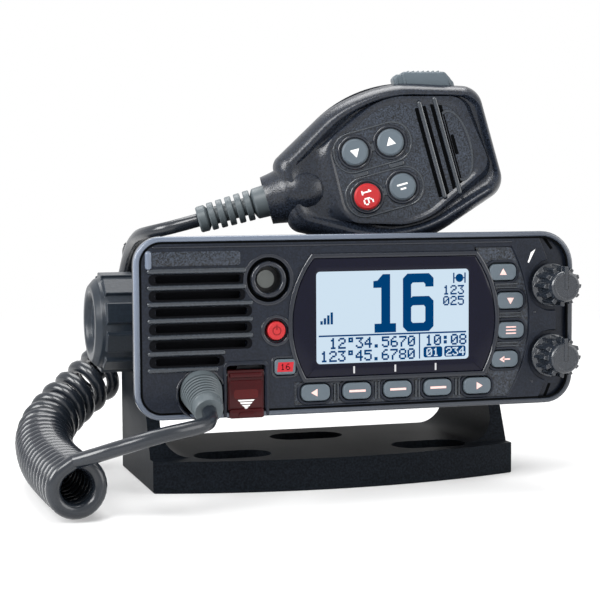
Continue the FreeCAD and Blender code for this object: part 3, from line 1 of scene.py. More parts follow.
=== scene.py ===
"""A fixed marine radio on its tilt bracket, with its hand microphone lying on the case."""

from math import cos, pi, radians, sin, tan

import bmesh
import bpy
from mathutils import Matrix, Vector

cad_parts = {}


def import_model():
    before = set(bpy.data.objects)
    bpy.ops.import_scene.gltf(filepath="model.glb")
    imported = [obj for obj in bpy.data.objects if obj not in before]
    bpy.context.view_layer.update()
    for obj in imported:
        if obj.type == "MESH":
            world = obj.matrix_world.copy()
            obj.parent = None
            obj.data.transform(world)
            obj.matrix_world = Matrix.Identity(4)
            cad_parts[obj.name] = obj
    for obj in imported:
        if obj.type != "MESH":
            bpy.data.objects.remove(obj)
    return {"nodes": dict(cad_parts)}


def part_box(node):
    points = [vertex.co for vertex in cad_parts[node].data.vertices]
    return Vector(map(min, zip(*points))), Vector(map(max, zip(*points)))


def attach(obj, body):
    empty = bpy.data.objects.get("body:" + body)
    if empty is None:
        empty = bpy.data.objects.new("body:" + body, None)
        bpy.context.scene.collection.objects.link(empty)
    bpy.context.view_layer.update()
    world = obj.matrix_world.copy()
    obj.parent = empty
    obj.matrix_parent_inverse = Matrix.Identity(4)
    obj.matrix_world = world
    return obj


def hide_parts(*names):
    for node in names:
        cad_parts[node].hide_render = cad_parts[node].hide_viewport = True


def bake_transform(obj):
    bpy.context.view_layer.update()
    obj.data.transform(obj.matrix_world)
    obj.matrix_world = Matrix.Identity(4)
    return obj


MM = 0.001
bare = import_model()["nodes"]
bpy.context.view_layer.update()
scene = bpy.context.scene


# ---- Bench and light ----
# The set is a matt white bench that runs out to a white surround, with four soft boxes over it.
# The bench keeps the radio's soft shadow close in and fades to clean white further out.


def linear(code):
    """An sRGB hex colour, such as "2b2f36", as linear RGBA."""
    parts = [int(code[i : i + 2], 16) / 255 for i in (0, 2, 4)]
    return [p / 12.92 if p <= 0.04045 else ((p + 0.055) / 1.055) ** 2.4 for p in parts] + [1.0]


def add_node(tree, kind, sockets=None, **settings):
    """Adds a shader node with its settings. sockets maps an input to a value or to an output."""
    made = tree.nodes.new("ShaderNode" + kind)
    for name, value in settings.items():
        setattr(made, name, value)
    for socket, value in (sockets or {}).items():
        if isinstance(value, bpy.types.NodeSocket):
            tree.links.new(value, made.inputs[socket])
        else:
            made.inputs[socket].default_value = value
    return made


def blank_material(name):
    """A material with an empty node tree and its output node."""
    made = bpy.data.materials.new(name)
    made.use_nodes = True
    made.node_tree.nodes.clear()
    return made, made.node_tree, made.node_tree.nodes.new("ShaderNodeOutputMaterial")


def seen_white(tree):
    """1 on rays that come straight from the camera, a gloss or a clear piece, and 0 on the rest."""
    path = add_node(tree, "LightPath").outputs
    first = {0: path["Is Camera Ray"], 1: path["Is Glossy Ray"]}
    seen = add_node(tree, "Math", first, operation="MAXIMUM")
    either = {0: seen.outputs[0], 1: path["Is Transmission Ray"]}
    return add_node(tree, "Math", either, operation="MAXIMUM").outputs[0]


# The surround is plain white to look at, and lights the radio at well under half of that.
ROOM_LIGHT = 0.42
white = linear("ffffff")
surround = bpy.data.worlds.new("white_surround")
surround.use_nodes = True
tree = surround.node_tree
tree.nodes.clear()
dim = add_node(tree, "Background", {"Color": white, "Strength": ROOM_LIGHT})
bright = add_node(tree, "Background", {"Color": white, "Strength": 1.0})
shown = {0: seen_white(tree), 1: dim.outputs[0], 2: bright.outputs[0]}
room = add_node(tree, "MixShader", shown)
add_node(tree, "OutputWorld", {0: room.outputs[0]})
scene.world = surround

# Matt emulsion has no highlight, and shows only the radio's shadow.
BENCH_REACH, BENCH_DROP = 12.0, 0.1 * MM
BENCH_NEAR, BENCH_FAR, BENCH_GLOW = 0.16, 0.75, 0.25
bench_paint, tree, end = blank_material("matt_white_bench_paint")
spot = add_node(tree, "TexCoord").outputs["Object"]
away = add_node(tree, "VectorMath", {0: spot}, operation="LENGTH")
fading = {"Value": away.outputs["Value"], "From Min": BENCH_NEAR, "From Max": BENCH_FAR}
fading |= {"To Min": BENCH_GLOW, "To Max": 1.0}
fade = add_node(tree, "MapRange", fading, interpolation_type="SMOOTHSTEP")
glowing = {0: fade.outputs[0], 1: seen_white(tree)}
share = add_node(tree, "Math", glowing, operation="MULTIPLY")
paint = add_node(tree, "BsdfDiffuse", {"Color": linear("f4f4f4")})
glow = add_node(tree, "Emission", {"Color": white, "Strength": 1.0})
mixed = {0: share.outputs[0], 1: paint.outputs[0], 2: glow.outputs[0]}
both = add_node(tree, "MixShader", mixed)
tree.links.new(both.outputs[0], end.inputs["Surface"])

bench_shape = bmesh.new()
bmesh.ops.create_grid(bench_shape, x_segments=1, y_segments=1, size=BENCH_REACH)
bmesh.ops.translate(bench_shape, verts=bench_shape.verts, vec=(0, 0, -BENCH_DROP))
bench_mesh = bpy.data.meshes.new("bench")
bench_shape.to_mesh(bench_mesh)
bench_shape.free()
bench = bpy.data.objects.new("bench", bench_mesh)
bench_mesh.materials.append(bench_paint)
scene.collection.objects.link(bench)

# Each soft box has its place, the length of its side and its power.
SOFT_BOXES = (
    ("key_box", (-0.75, -0.85, 0.95), 0.55, 12.0),
    ("fill_box", (0.95, -0.75, 0.45), 0.8, 7.0),
    ("top_box", (0.05, 0.35, 1.1), 0.8, 12.5),
    ("side_box", (-1.05, -0.2, 0.5), 0.5, 11.0),
)
AIM = Vector((-0.01, -0.02, 0.06))
for name, place, side, watts in SOFT_BOXES:
    lamp = bpy.data.lights.new(name, "AREA")
    lamp.shape = "SQUARE"
    lamp.size = side
    lamp.energy = watts
    holder = bpy.data.objects.new(name, lamp)
    holder.location = place
    holder.rotation_euler = (AIM - Vector(place)).to_track_quat("-Z", "Y").to_euler()
    scene.collection.objects.link(holder)

# The camera stands to the left of the radio and a little above it. Its lens is given in pixels.
CAMERA_PLACE = Vector((-178.2, -579.0, 107.2)) * MM
CAMERA_AIM = Vector((-21.9, -56.0, 67.73)) * MM
CAMERA_ROLL = radians(-0.309)
FOCAL_PIXELS, FRAME_PIXELS, SENSOR = 1637.49, 600, 36.0
camera = bpy.data.cameras.new("camera")
camera.sensor_width = SENSOR
camera.lens = SENSOR * FOCAL_PIXELS / FRAME_PIXELS
camera.clip_start = 0.02
camera.clip_end = 60
viewer = bpy.data.objects.new("camera", camera)
turn = (CAMERA_AIM - CAMERA_PLACE).to_track_quat("-Z", "Y").to_matrix().to_4x4()
roll = Matrix.Rotation(CAMERA_ROLL, 4, "Z")
viewer.matrix_world = Matrix.Translation(CAMERA_PLACE) @ turn @ roll
scene.collection.objects.link(viewer)
scene.camera = viewer
scene.view_settings.view_transform = "Standard"


# ---- Tilt bracket and hand knobs ----
# The bracket and the two hand knobs are moulded in black glass-filled nylon with a spark-eroded
# grain. A steel stud, moulded into each knob, runs through the bracket's arm into the case.

# How wide the clouds of tone are in mm, how far they shift the roughness, and how high the grain's
# noise is in its pits and on its peaks.
CLOUD, GLOSS_DRIFT, PITS_AT, PEAKS_AT = 22, 0.04, 0.35, 0.68


def clouded(tree, colour, size, detail, dark, pale):
    """Object coordinates, clouds that many mm wide, and the colour wandering between two shades."""
    place = add_node(tree, "TexCoord").outputs["Object"]
    noise = {"Vector": place, "Scale": 1 / (size * MM), "Detail": detail}
    cloud = add_node(tree, "TexNoise", noise).outputs[0]
    low, high = [[min(1, v * share) for v in linear(colour)[:3]] + [1] for share in (dark, pale)]
    tone = add_node(tree, "Mix", {0: cloud, 6: low, 7: high}, data_type="RGBA").outputs[2]
    return place, cloud, tone


def scale_colour(tree, body, amount):
    """Multiplies a material's base colour by another node's output."""
    colour = body.inputs["Base Color"]
    now = {0: colour.links[0].from_socket, "Scale": amount}
    tree.links.new(add_node(tree, "VectorMath", now, operation="SCALE").outputs[0], colour)


def surface(
    name, colour, roughness, grain=0.0, depth=0.0, shade=0.12, metal=0.0, level=0.5, peak_glint=0.0
):
    """A finish with grain of that size and depth in mm. shade is how far its tone wanders, and the
    last argument is how much lighter the grain's peaks are painted than its pits: a painted glint."""
    made, tree, end = blank_material(name)
    place, cloud, tone = clouded(tree, colour, CLOUD, 3.0, 1 - shade, 1 + shade)
    drift = {"Value": cloud, "To Min": roughness - GLOSS_DRIFT, "To Max": roughness + GLOSS_DRIFT}
    wear = add_node(tree, "MapRange", drift).outputs[0]
    look = {"Base Color": tone, "Roughness": wear, "Metallic": metal, "Specular IOR Level": level}
    body = add_node(tree, "BsdfPrincipled", look)
    if grain:
        size = {"Vector": place, "Scale": 1 / (grain * MM), "Detail": 2.0}
        pits = add_node(tree, "TexNoise", size).outputs[0]
        # Painted glint: the grain's peaks are painted lighter than its pits.
        if peak_glint:
            levels = {"From Min": PITS_AT, "From Max": PEAKS_AT}
            tones = {"Value": pits, "To Min": 1 - peak_glint / 2, "To Max": 1 + peak_glint}
            scale_colour(tree, body, add_node(tree, "MapRange", levels | tones).outputs[0])
        rise = {"Height": pits, "Strength": 1.0, "Distance": depth * MM}
        tree.links.new(add_node(tree, "Bump", rise).outputs[0], body.inputs["Normal"])
    tree.links.new(body.outputs[0], end.inputs["Surface"])
    return made


def put(name, shape, finish, body, slot, place=None, instead=(), crease=30):
    """Turns a finished bmesh into a piece of the radio that rides on a body, if one is given."""
    if place is not None:
        shape.transform(place)
    for face in shape.faces:
        face.smooth = True
    for edge in shape.edges:
        edge.smooth = edge.is_manifold and edge.calc_face_angle() < radians(crease)
    mesh = bpy.data.meshes.new(name)
    shape.to_mesh(mesh)
    shape.free()
    mesh.materials.append(finish)
    piece = bpy.data.objects.new(name, mesh)
    scene.collection.objects.link(piece)
    if body:
        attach(piece, body)
    if instead:
        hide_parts(*instead)
    return piece


# Points closer than WELD are one, faces within FLAT are one, and edges past SHARP degrees are eased.
WELD, FLAT, SHARP = 0.003 * MM, radians(0.4), 25


def eased(node, finish, body, slot, edge, clamped=False):
    """The bare piece again, its doubles merged and its sharp edges eased as a mould leaves them."""
    shape = bmesh.new()
    shape.from_mesh(bare[node].data)
    bmesh.ops.remove_doubles(shape, verts=shape.verts, dist=WELD)
    bmesh.ops.dissolve_limit(shape, angle_limit=FLAT, verts=shape.verts, edges=shape.edges)
    piece = put(node + "_skin", shape, finish, body, slot, instead=[node], crease=SHARP)
    soft = piece.modifiers.new("eased_edges", "BEVEL")
    soft.width = edge * MM
    soft.segments = 3
    soft.limit_method = "ANGLE"
    soft.angle_limit = radians(SHARP)
    soft.use_clamp_overlap = clamped
    soft.harden_normals = True


def dress(finish, *names):
    """Gives bare pieces their finish as they are."""
    for name in names:
        bare[name].data.materials.clear()
        bare[name].data.materials.append(finish)


# Glass-filled nylon: the grain breaks its highlights up, and its high spots are painted lighter as a
# painted glint.
bracket_nylon = surface(
    "black_glass_filled_nylon", "101419", 0.5, grain=0.7, depth=0.07, level=0.05, peak_glint=0.7
)
# The same nylon polished by hands, with a soft sheen on its facets and a faint painted glint.
knob_nylon = surface(
    "polished_glass_filled_nylon", "1c232b", 0.3, grain=0.9, depth=0.03, level=0.28, peak_glint=0.2
)
# Brushed steel spreads its reflections into pale grey.
stainless = surface("brushed_stainless_steel", "c9cacb", 0.28, metal=1.0, shade=0.05)
# Moulded nitrile rubber is nearly matt.
gasket_rubber = surface("black_nitrile_rubber", "131416", 0.62, grain=0.8, depth=0.02, level=0.3)

eased("mounting_bracket", bracket_nylon, "bracket", "bracket", 1.3, clamped=True)
eased("left_tilt_knob", knob_nylon, "left_tilt", "bracket", 0.4)
eased("right_tilt_knob", knob_nylon, "right_tilt", "bracket", 0.4)
dress(stainless, "left_stud", "right_stud")
dress(gasket_rubber, "tilt_washers")

# ---- Rear case ----
# The rear case is a die casting in textured black paint, screwed to the bezel over a rubber gasket.
# The aerial socket is plated brass, and the power leads leave through rubber grommets.

# Textured paint on a die casting: small bumps, each with a low sheen.
die_cast = surface("black_painted_die_cast", "14181e", 0.42, grain=0.9, depth=0.08, level=0.35)
# Nickel plate is close to a mirror.
plated_brass = surface("nickel_plated_brass", "d9d9da", 0.12, metal=1.0, shade=0.03)
# Solder mask over glass epoxy gives a board its even satin green.
circuit_board = surface("green_glass_epoxy_board", "1d5a3c", 0.45)
# Turned PTFE is waxy and a warm white.
socket_ptfe = surface("white_ptfe", "e8e6e0", 0.45)
eased("rear_chassis", die_cast, "radio", "chassis", 0.4)
dress(gasket_rubber, "case_gasket", "rear_grommets")
dress(stainless, "case_screws", "power_amplifier")
dress(plated_brass, "antenna_socket")
dress(socket_ptfe, "socket_insulator")
dress(circuit_board, "main_board", "front_board")

# ---- Front bezel ----
# The bezel is moulded in charcoal ABS with a fine grain. A polished bead runs round its rim, and a
# second one marks the shoulder inside it, and a black ring of painted shade draws the groove
# between the two.
FACE_HIGH, FACE_OUT = 59.4, 56.0

# Places on the radio are given in mm as right, up and out of the face, from its middle.
FACE = Matrix.Translation((0, -FACE_OUT * MM, FACE_HIGH * MM)) @ Matrix(
    ((MM, 0, 0, 0), (0, 0, -MM, 0), (0, MM, 0, 0), (0, 0, 0, 1))
)
# ABS with a fine moulded grain: dark blue-grey, with a broken satin highlight and a painted glint
# on its grain's peaks.
grained_abs = surface(
    "charcoal_moulded_abs", "141923", 0.3, grain=0.6, depth=0.05, level=0.25, peak_glint=0.5
)
# The same ABS from a deeply etched mould glitters in pale specks, a painted glint on its peaks.
coarse_abs = surface(
    "coarse_grained_abs", "20252d", 0.28, grain=0.5, depth=0.12, level=0.4, peak_glint=1.7
)
# ABS from a polished mould has thin, sharp highlights.
polished_abs = surface("polished_charcoal_abs", "141923", 0.17, grain=3, depth=0.01, level=0.5)
# The rim is polished too, and its pale base colour is a painted highlight along its bead.
painted_highlight_abs = surface("charcoal_abs_painted_highlight", "4a525f", 0.18, grain=3, depth=0.01, level=0.7)
# Bars and webs have a light grain. Their lighter base is a painted highlight for the light that
# their round tops catch, with a little painted glint on the grain's peaks.
lit_ridge_abs = surface(
    "ridged_abs_painted_highlight", "252b32", 0.2, grain=0.8, depth=0.02, level=0.7, peak_glint=0.3
)
# Near-black sheets of painted shade stand in for deep grooves, wells and slots, which give back
# almost no light. The printed 16 on the call key is in the same black.
shade_and_ink_abs = surface("black_abs_painted_shade_and_ink", "030405", 0.6, level=0.03)


def outline(corners, segments=8):
    """Points round a polygon whose corners (x, y, radius) are rounded, as the corners run."""
    shape = bmesh.new()
    made = [shape.verts.new((x, y, 0)) for x, y, _ in corners]
    shape.faces.new(made)
    for vert, (_, _, radius) in zip(made, corners):
        one, other = [edge.other_vert(vert).co - vert.co for edge in vert.link_edges]
        bmesh.ops.bevel(
            shape, geom=[vert], offset=radius / tan(one.angle(other) / 2),
            segments=segments, profile=0.5, material=-1, affect="VERTICES",
        )
    shape.faces.ensure_lookup_table()
    points = [(v.co.x, v.co.y) for v in shape.faces[0].verts]
    shape.free()
    return points


def rounded(left, right, low, high, radius, segments=6):
    """The outline of a rectangle with round corners."""
    corners = [(left, low), (right, low), (right, high), (left, high)]
    return outline([(x, y, radius) for x, y in corners], segments)


def ring_of(x, y, radius, count=48):
    """The outline of a circle."""
    shape = bmesh.new()
    bmesh.ops.create_circle(
        shape, segments=count, radius=radius, matrix=Matrix.Translation((x, y, 0))
    )
    points = [(v.co.x, v.co.y) for v in shape.verts]
    shape.free()
    return points


def plate(outlines, back, front, ease=0.0, steps=3):
    """A flat piece from back to front: an outline, then its openings, its front edges eased."""
    shape = bmesh.new()
    for points in outlines:
        loop = [shape.verts.new((x, y, back)) for x, y in points]
        for one, other in zip(loop, loop[1:] + loop[:1]):
            shape.edges.new((one, other))
    bmesh.ops.triangle_fill(shape, use_beauty=True, use_dissolve=False, edges=shape.edges[:])
    raised = bmesh.ops.extrude_face_region(shape, geom=shape.faces[:])["geom"]
    top = [v for v in raised if isinstance(v, bmesh.types.BMVert)]
    bmesh.ops.translate(shape, verts=top, vec=(0, 0, front - back))
    bmesh.ops.recalc_face_normals(shape, faces=shape.faces)
    if ease:
        rims = [
            edge for edge in shape.edges
            if min(v.co.z for v in edge.verts) > front - 0.001 and edge.calc_face_angle() > 1.0
        ]
        bmesh.ops.bevel(
            shape, geom=rims, offset=ease, segments=steps, profile=0.5, material=-1,
            affect="EDGES",
        )
    return shape


def washer(place, outer, inner, back, front, ease=0.0, count=48):
    """A flat ring of those two radii about a place."""
    return plate([ring_of(*place, outer, count), ring_of(*place, inner, count)], back, front, ease)


def joined(shapes):
    """One shape from several."""
    whole = bmesh.new()
    for shape in shapes:
        mesh = bpy.data.meshes.new("part")
        shape.to_mesh(mesh)
        shape.free()
        whole.from_mesh(mesh)
        bpy.data.meshes.remove(mesh)
    return whole


def on_bezel(name, shape, finish):
    """A piece of trim on the bezel."""
    put(name, shape, finish, "radio", "charcoal", FACE)


eased("front_bezel", grained_abs, "radio", "charcoal", 0.28)
# Plain ABS with no grain has an even satin shine.
port_plastic = surface("black_plain_abs", "0e1013", 0.3, level=0.35)
# Cast silicone is a soft, cloudy grey.
port_silicone = surface("grey_translucent_silicone", "6f7371", 0.5)
dress(port_plastic, "speaker_frame", "port_ring")
dress(gasket_rubber, "speaker_cone", "key_mat")
dress(stainless, "speaker_magnet", "control_pots", "cover_pin")
dress(port_silicone, "port_cap")


HALF_WIDE, HALF_HIGH, CORNERS = 78.0, 30.1, (9, 10, 12, 9)
LET_IN, BEAD_OUT = -0.4, 0.35


def face_outline(inset):
    """The bezel's outline, drawn in by an inset."""
    wide, high = HALF_WIDE - inset, HALF_HIGH - inset
    corners = zip((-wide, wide, wide, -wide), (-high, -high, high, high), CORNERS)
    return outline([(x, y, radius - inset) for x, y, radius in corners], 10)


# Painted highlight and painted shade: brightest at the upper left, darker to the lower right.
RIM_SLOPE, DARK_AT, PALE_AT, RIM_DARK, RIM_PALE = (-0.6, 0, 1), 20 * MM, 120 * MM, 0.35, 1.7
tree = painted_highlight_abs.node_tree
place = add_node(tree, "TexCoord").outputs["Object"]
height = add_node(tree, "VectorMath", {0: place, 1: RIM_SLOPE}, operation="DOT_PRODUCT")
span = {"From Min": DARK_AT, "From Max": PALE_AT, "To Min": RIM_DARK, "To Max": RIM_PALE}
paler = add_node(tree, "MapRange", {"Value": height.outputs["Value"]} | span)
scale_colour(tree, tree.nodes["Principled BSDF"], paler.outputs[0])

rim = plate([face_outline(-0.06), face_outline(1.75)], -1.6, BEAD_OUT, ease=0.75)
on_bezel("rim_bead", rim, painted_highlight_abs)
# A black ring of painted shade stands in for the groove between rim and shoulder.
groove = plate([face_outline(1.7), face_outline(2.4)], LET_IN, 0.02)
on_bezel("rim_groove_shade", groove, shade_and_ink_abs)
shoulder = plate([rounded(-72.0, 55.0, 26.3, 27.0, 0.33)], -0.5, BEAD_OUT, ease=0.3)
on_bezel("shoulder_bead", shoulder, polished_abs)

# ---- Speaker grille ----
# Six slots open on the speaker, and black cloth closes them behind. Rounded bars stand up between
# the slots and run out past their ends, and a black ring of painted shade round each slot draws it
# out as a dark groove.
TOP_SLOT, SLOT_PITCH = 16.1, 5.41
SLOT_ENDS = (-42.2, -42.2, -40.0, -40.0, -40.0, -49.5)
# Acoustic cloth swallows the light. Its threads are drawn coarse, so that they show, and their tops
# are painted a little lighter as a painted glint. Its black also paints the shade round the slots.
cloth_and_shade_black = surface(
    "black_acoustic_cloth_and_painted_shade", "0b0c0f", 0.8, grain=0.5, depth=0.05, level=0.05, peak_glint=0.4
)


def grille_bar(right, low, high):
    """One rounded bar of the grille, from its common left end."""
    return plate([rounded(-73.9, right, low, high, 0.8)], LET_IN, 0.85, ease=0.75)


cloth = plate([rounded(-73.0, -38.5, -13.5, 19.0, 2)], -3.12, -3.0)
put("grille_cloth", cloth, cloth_and_shade_black, "radio", "cone", FACE)
grooves, lips = [], []
for down, right in enumerate(SLOT_ENDS):
    up = TOP_SLOT - SLOT_PITCH * down
    # Each slot's ring of painted shade runs past the opening, so that the slot reads as a longer
    # groove.
    around = rounded(-73.3, right + 1.5, up - 1.8, up + 1.8, 1.6)
    inside = rounded(-71.2, right - 0.1, up - 1.25, up + 1.25, 1.1)
    grooves.append(plate([around, inside], LET_IN, 0.03))
    lips.append(grille_bar(right + 1.9, up + 1.85, up + 3.55))
lips.append(grille_bar(-50.0, -14.5, -12.8))
on_bezel("grille_groove_shade", joined(grooves), cloth_and_shade_black)
on_bezel("grille_bars", joined(lips), lit_ridge_abs)
panel = plate([rounded(-72.4, -42.4, 20.4, 25.2, 1.2)], -0.3, 0.3, ease=0.25)
on_bezel("grille_panel", panel, coarse_abs)
# This corner bead takes the rim's painted highlight, for the bright line where light catches it.
corner_light = plate([rounded(-74.4, -72.2, 19.4, 25.6, 1.0)], -0.3, 0.95, ease=0.9)
on_bezel("grille_corner", corner_light, painted_highlight_abs)

# ---- Round port ----
# A light sensor port, moulded with the bezel: a polished ring in a round recess, and a second one
# round its throat. A cap of grey silicone is pushed into the throat.
PORT = (-32.8, 15.4)
port = [washer(PORT, 8.7, 7.4, LET_IN, 0.3, 0.25), washer(PORT, 6.1, 4.5, LET_IN, 0.9, 0.7)]
on_bezel("port_rings", joined(port), polished_abs)
# A black ring of painted shade stands in for the shaded depth of the round recess.
on_bezel("port_well", washer(PORT, 7.45, 6.0, -1.6, -1.4), shade_and_ink_abs)

# ---- Display window ----
# The window is a polycarbonate disc, cut off flat above and below and screen-printed black on its
# back, and the display glows through the part left clear. A moulded rim stands up round it.

GLOW_CLOUD, GLOW_DRIFT = 25, 0.02


def lit(name, colour, strength=1.0):
    """A glowing sheet of its own colour, not quite even: the backlit film, or print with a painted
    glow.
    """
    made, tree, end = blank_material(name)
    tone = clouded(tree, colour, GLOW_CLOUD, 1.0, 1 - GLOW_DRIFT, 1)[2]
    glow = {"Emission Color": tone, "Emission Strength": strength}
    glow |= {"Base Color": linear("000000"), "Roughness": 0.5, "Specular IOR Level": 0.0}
    tree.links.new(add_node(tree, "BsdfPrincipled", glow).outputs[0], end.inputs["Surface"])
    return made


# The print is seen through clear plastic, so it has that plastic's gloss.
window_print = surface("black_print_under_polycarbonate", "07081a", 0.06, shade=0.05, level=0.2)
# Liquid crystal: a pale blue sheet of light with deep blue figures.
display_glow = lit("backlit_display_film", "d0e3f2")
dot_glow = lit("display_dots", "013f74")
# White screen print, given a glow of its own as a painted highlight, shines on the dark window.
tick_ink_painted_glow = lit("white_screen_print_painted_glow", "f1f1f3", 0.9)

LENS_X, LENS_RADIUS, LENS_TOP, LENS_FOOT = 12.0, 36.5, 22.1, -17.9
DISPLAY = (-16.2, 38.8, -13.5, 17.6)


def cut_disc(radius, sides):
    """The outline of a disc about the window's middle, cut off along sides (place, way out)."""
    shape = bmesh.new()
    bmesh.ops.create_circle(shape, segments=160, radius=radius, cap_ends=True)
    bmesh.ops.translate(shape, verts=shape.verts, vec=(LENS_X, 0, 0))
    for place, way in sides:
        everything = shape.verts[:] + shape.edges[:] + shape.faces[:]
        bmesh.ops.bisect_plane(
            shape, geom=everything, plane_co=(*place, 0), plane_no=(*way, 0), clear_outer=True
        )
    shape.faces.ensure_lookup_table()
    points = [(v.co.x, v.co.y) for v in shape.faces[0].verts]
    shape.free()
    return points


def window_outline(extra):
    """The window's outline, larger all round by that much."""
    top, foot = (0, LENS_TOP + extra), (0, LENS_FOOT - extra)
    return cut_disc(LENS_RADIUS + extra, [(top, (0, 1)), (foot, (0, -1))])


dress(window_print, "lcd_module")
window = plate([window_outline(0), rounded(*DISPLAY, 1.3)], -1.2, 0.3, ease=0.35)
put("window_disc", window, window_print, "radio", "window", FACE, instead=["window_lens"])
window_rim = plate([window_outline(1.75), window_outline(0.05)], -0.9, 0.75, ease=0.6)
on_bezel("window_rim", window_rim, polished_abs)
FILM = -0.05
display = plate([rounded(-16.4, 39.0, -13.7, 17.8, 1.0)], FILM - 0.1, FILM)
put("display_picture", display, display_glow, "radio", "lcd", FACE)

# Each figure is rows of dots from the top down, five dots to a row.
DIGITS = {
    "0": "01110 10001 10011 10101 11001 10001 01110",
    "1": "00100 01100 00100 00100 00100 00100 01110",
    "2": "01110 10001 00001 00110 01000 10000 11111",
    "3": "11111 00010 00100 00010 00001 10001 01110",
    "4": "00010 00110 01010 10010 11111 00010 00010",
    "5": "11111 10000 11110 00001 00001 10001 01110",
    "6": "00110 01000 10000 11110 10001 10001 01110",
    "7": "11111 00001 00010 00100 01000 01000 01000",
    "8": "01110 10001 10001 01110 10001 10001 01110",
    ".": "00000 00000 00000 00000 00000 01100 01100",
    ":": "00000 01100 01100 00000 01100 01100 00000",
    "o": "01110 01010 01110 00000 00000 00000 00000",
}
# The channel's big digits are outlines, in mm from their top left corner.
BIG_ONE = [
    (3.4, 0), (6.05, 0), (6.05, -16.8), (8.15, -16.8), (8.15, -19.85), (0.4, -19.85),
    (0.4, -16.8), (2.85, -16.8), (2.85, -4.6), (0, -4.6), (0, -2.3), (1.5, -2.1),
]
BIG_SIX = [
    (1.65, 0), (9.5, 0), (11.15, -1.65), (11.15, -4.6), (8.15, -4.6), (8.15, -3.7),
    (7.55, -3.1), (3.6, -3.1), (3.0, -3.7), (3.0, -8.3), (3.5, -7.8), (9.5, -7.8),
    (11.15, -9.45), (11.15, -18.2), (9.5, -19.85), (1.65, -19.85), (0, -18.2), (0, -1.65),
]
SIX_OPENING = rounded(3.0, 8.15, -16.9, -10.9, 0.6, segments=1)
BIG_HIGH, ONE_LEFT, SIX_LEFT = 16.35, 4.05, 14.7
DOT_FRONT = FILM + 0.02


def moved(points, across, up):
    """The same outline elsewhere on the face."""
    return [(x + across, y + up) for x, y in points]


def bar(shape, left, right, low, high, out=DOT_FRONT):
    """Adds one lit rectangle."""
    size = Matrix.Diagonal(((right - left) / 2, (high - low) / 2, 1, 1))
    middle = Matrix.Translation(((left + right) / 2, (low + high) / 2, out))
    bmesh.ops.create_grid(shape, x_segments=1, y_segments=1, size=1.0, matrix=middle @ size)


def dot_rows(shape, rows, left, high, cell, out=DOT_FRONT, full=0.505):
    """Adds a lit cell for each 1 in the rows, which start at their top left corner. full is half a
    cell's side in pitches, and past 0.5 the cells run together."""
    half = cell * full
    for down, row in enumerate(rows.split()):
        for along, mark in enumerate(row):
            x, y = left + (along + 0.5) * cell, high - (down + 0.5) * cell
            if mark == "1":
                bar(shape, x - half, x + half, y - half, y + half, out)


def written(readings, out=DOT_FRONT):
    """Lit cells for rows of digits, each with its left end, its top and its cell's size."""
    shape = bmesh.new()
    for text, left, high, cell in readings:
        for place, digit in enumerate(text):
            dot_rows(shape, DIGITS[digit], left + place * 6 * cell, high, cell, out, full=0.62)
    return shape


SMALL, SMALLER, SMALLEST = 0.52, 0.45, 0.4
dots = written([
    ("12o34.5670", -11.6, -4.9, SMALL), ("123o45.6780", -14.8, -9.25, SMALL),
    ("10:08", 22.9, -4.85, SMALL), ("123", 29.4, 12.0, SMALLER), ("025", 29.4, 8.3, SMALLER),
])
# Two rules part the readings, and three strokes belong to the mark at the upper right.
for sides in (
    (-15.4, 37.9, -4.4, -3.85), (20.5, 20.95, -12.9, -3.85),
    (33.05, 33.55, 12.75, 16.3), (37.2, 37.7, 12.75, 16.3), (33.4, 37.3, 14.3, 14.7),
):
    bar(dots, *sides)
# The signal bars grow to the right.
for step in range(4):
    left = -14.8 + step * 1.2
    bar(dots, left, left + 0.85, -0.2, 1.0 + step * 0.95)
mark_middle = Matrix.Translation((35.4, 14.5, DOT_FRONT))
bmesh.ops.create_circle(dots, segments=20, radius=1.45, cap_ends=True, matrix=mark_middle)
figures = [dots]
for outlines in (
    [moved(BIG_ONE, ONE_LEFT, BIG_HIGH)],
    [moved(BIG_SIX, SIX_LEFT, BIG_HIGH), moved(SIX_OPENING, SIX_LEFT, BIG_HIGH)],
    [rounded(22.2, 29.1, -12.6, -8.9, 0.8)],
    [rounded(29.8, 37.7, -12.6, -8.9, 0.8)],
):
    figures.append(plate(outlines, FILM - 0.05, DOT_FRONT))
put("display_dots", joined(figures), dot_glow, "radio", "lcd", FACE)
# The two dark boxes carry pale figures.
pale = written([("01", 23.3, -9.4, SMALLEST), ("234", 30.5, -9.4, SMALLEST)], DOT_FRONT + 0.01)
put("display_pale_dots", pale, display_glow, "radio", "lcd", FACE)

TICK_FRONT = 0.31
ticks = bmesh.new()
for across in (-3.0, 11.8, 26.5):
    bar(ticks, across - 0.3, across + 0.3, -17.0, -14.6, TICK_FRONT)
put("window_ticks", ticks, tick_ink_painted_glow, "radio", "window", FACE)

# ---- Keys ----
# The keys are one-piece silicone rubber caps that come through the bezel, with pale legends
# printed on them and left matt. Each stands in a rounded pocket in a coarsely grained panel.
KEY_FRONT, PANEL = 0.72, -0.8
# Moulded silicone rubber has a wide, dull highlight.
key_rubber = surface("grey_silicone_rubber", "545e66", 0.42, grain=0.5, depth=0.01, level=0.3)
red_rubber = surface("red_silicone_rubber", "ab2529", 0.4, grain=0.5, depth=0.01, level=0.3)
# Pad-printed ink is even and matt.
key_ink = surface("warm_pad_printed_ink", "f0c6c0", 0.5, shade=0.02, level=0.2)
power_ink = surface("dark_red_pad_printed_ink", "7a1519", 0.5, shade=0.02, level=0.2)
label_red = surface("red_pad_printed_ink", "b0232d", 0.5, shade=0.02, level=0.2)


def triangle(across, up, reach, turn):
    """The corners of an arrowhead that points that many degrees anticlockwise from right."""
    ways = [radians(turn + step) for step in (0, 120, 240)]
    return [(across + reach * cos(way), up + reach * sin(way)) for way in ways]


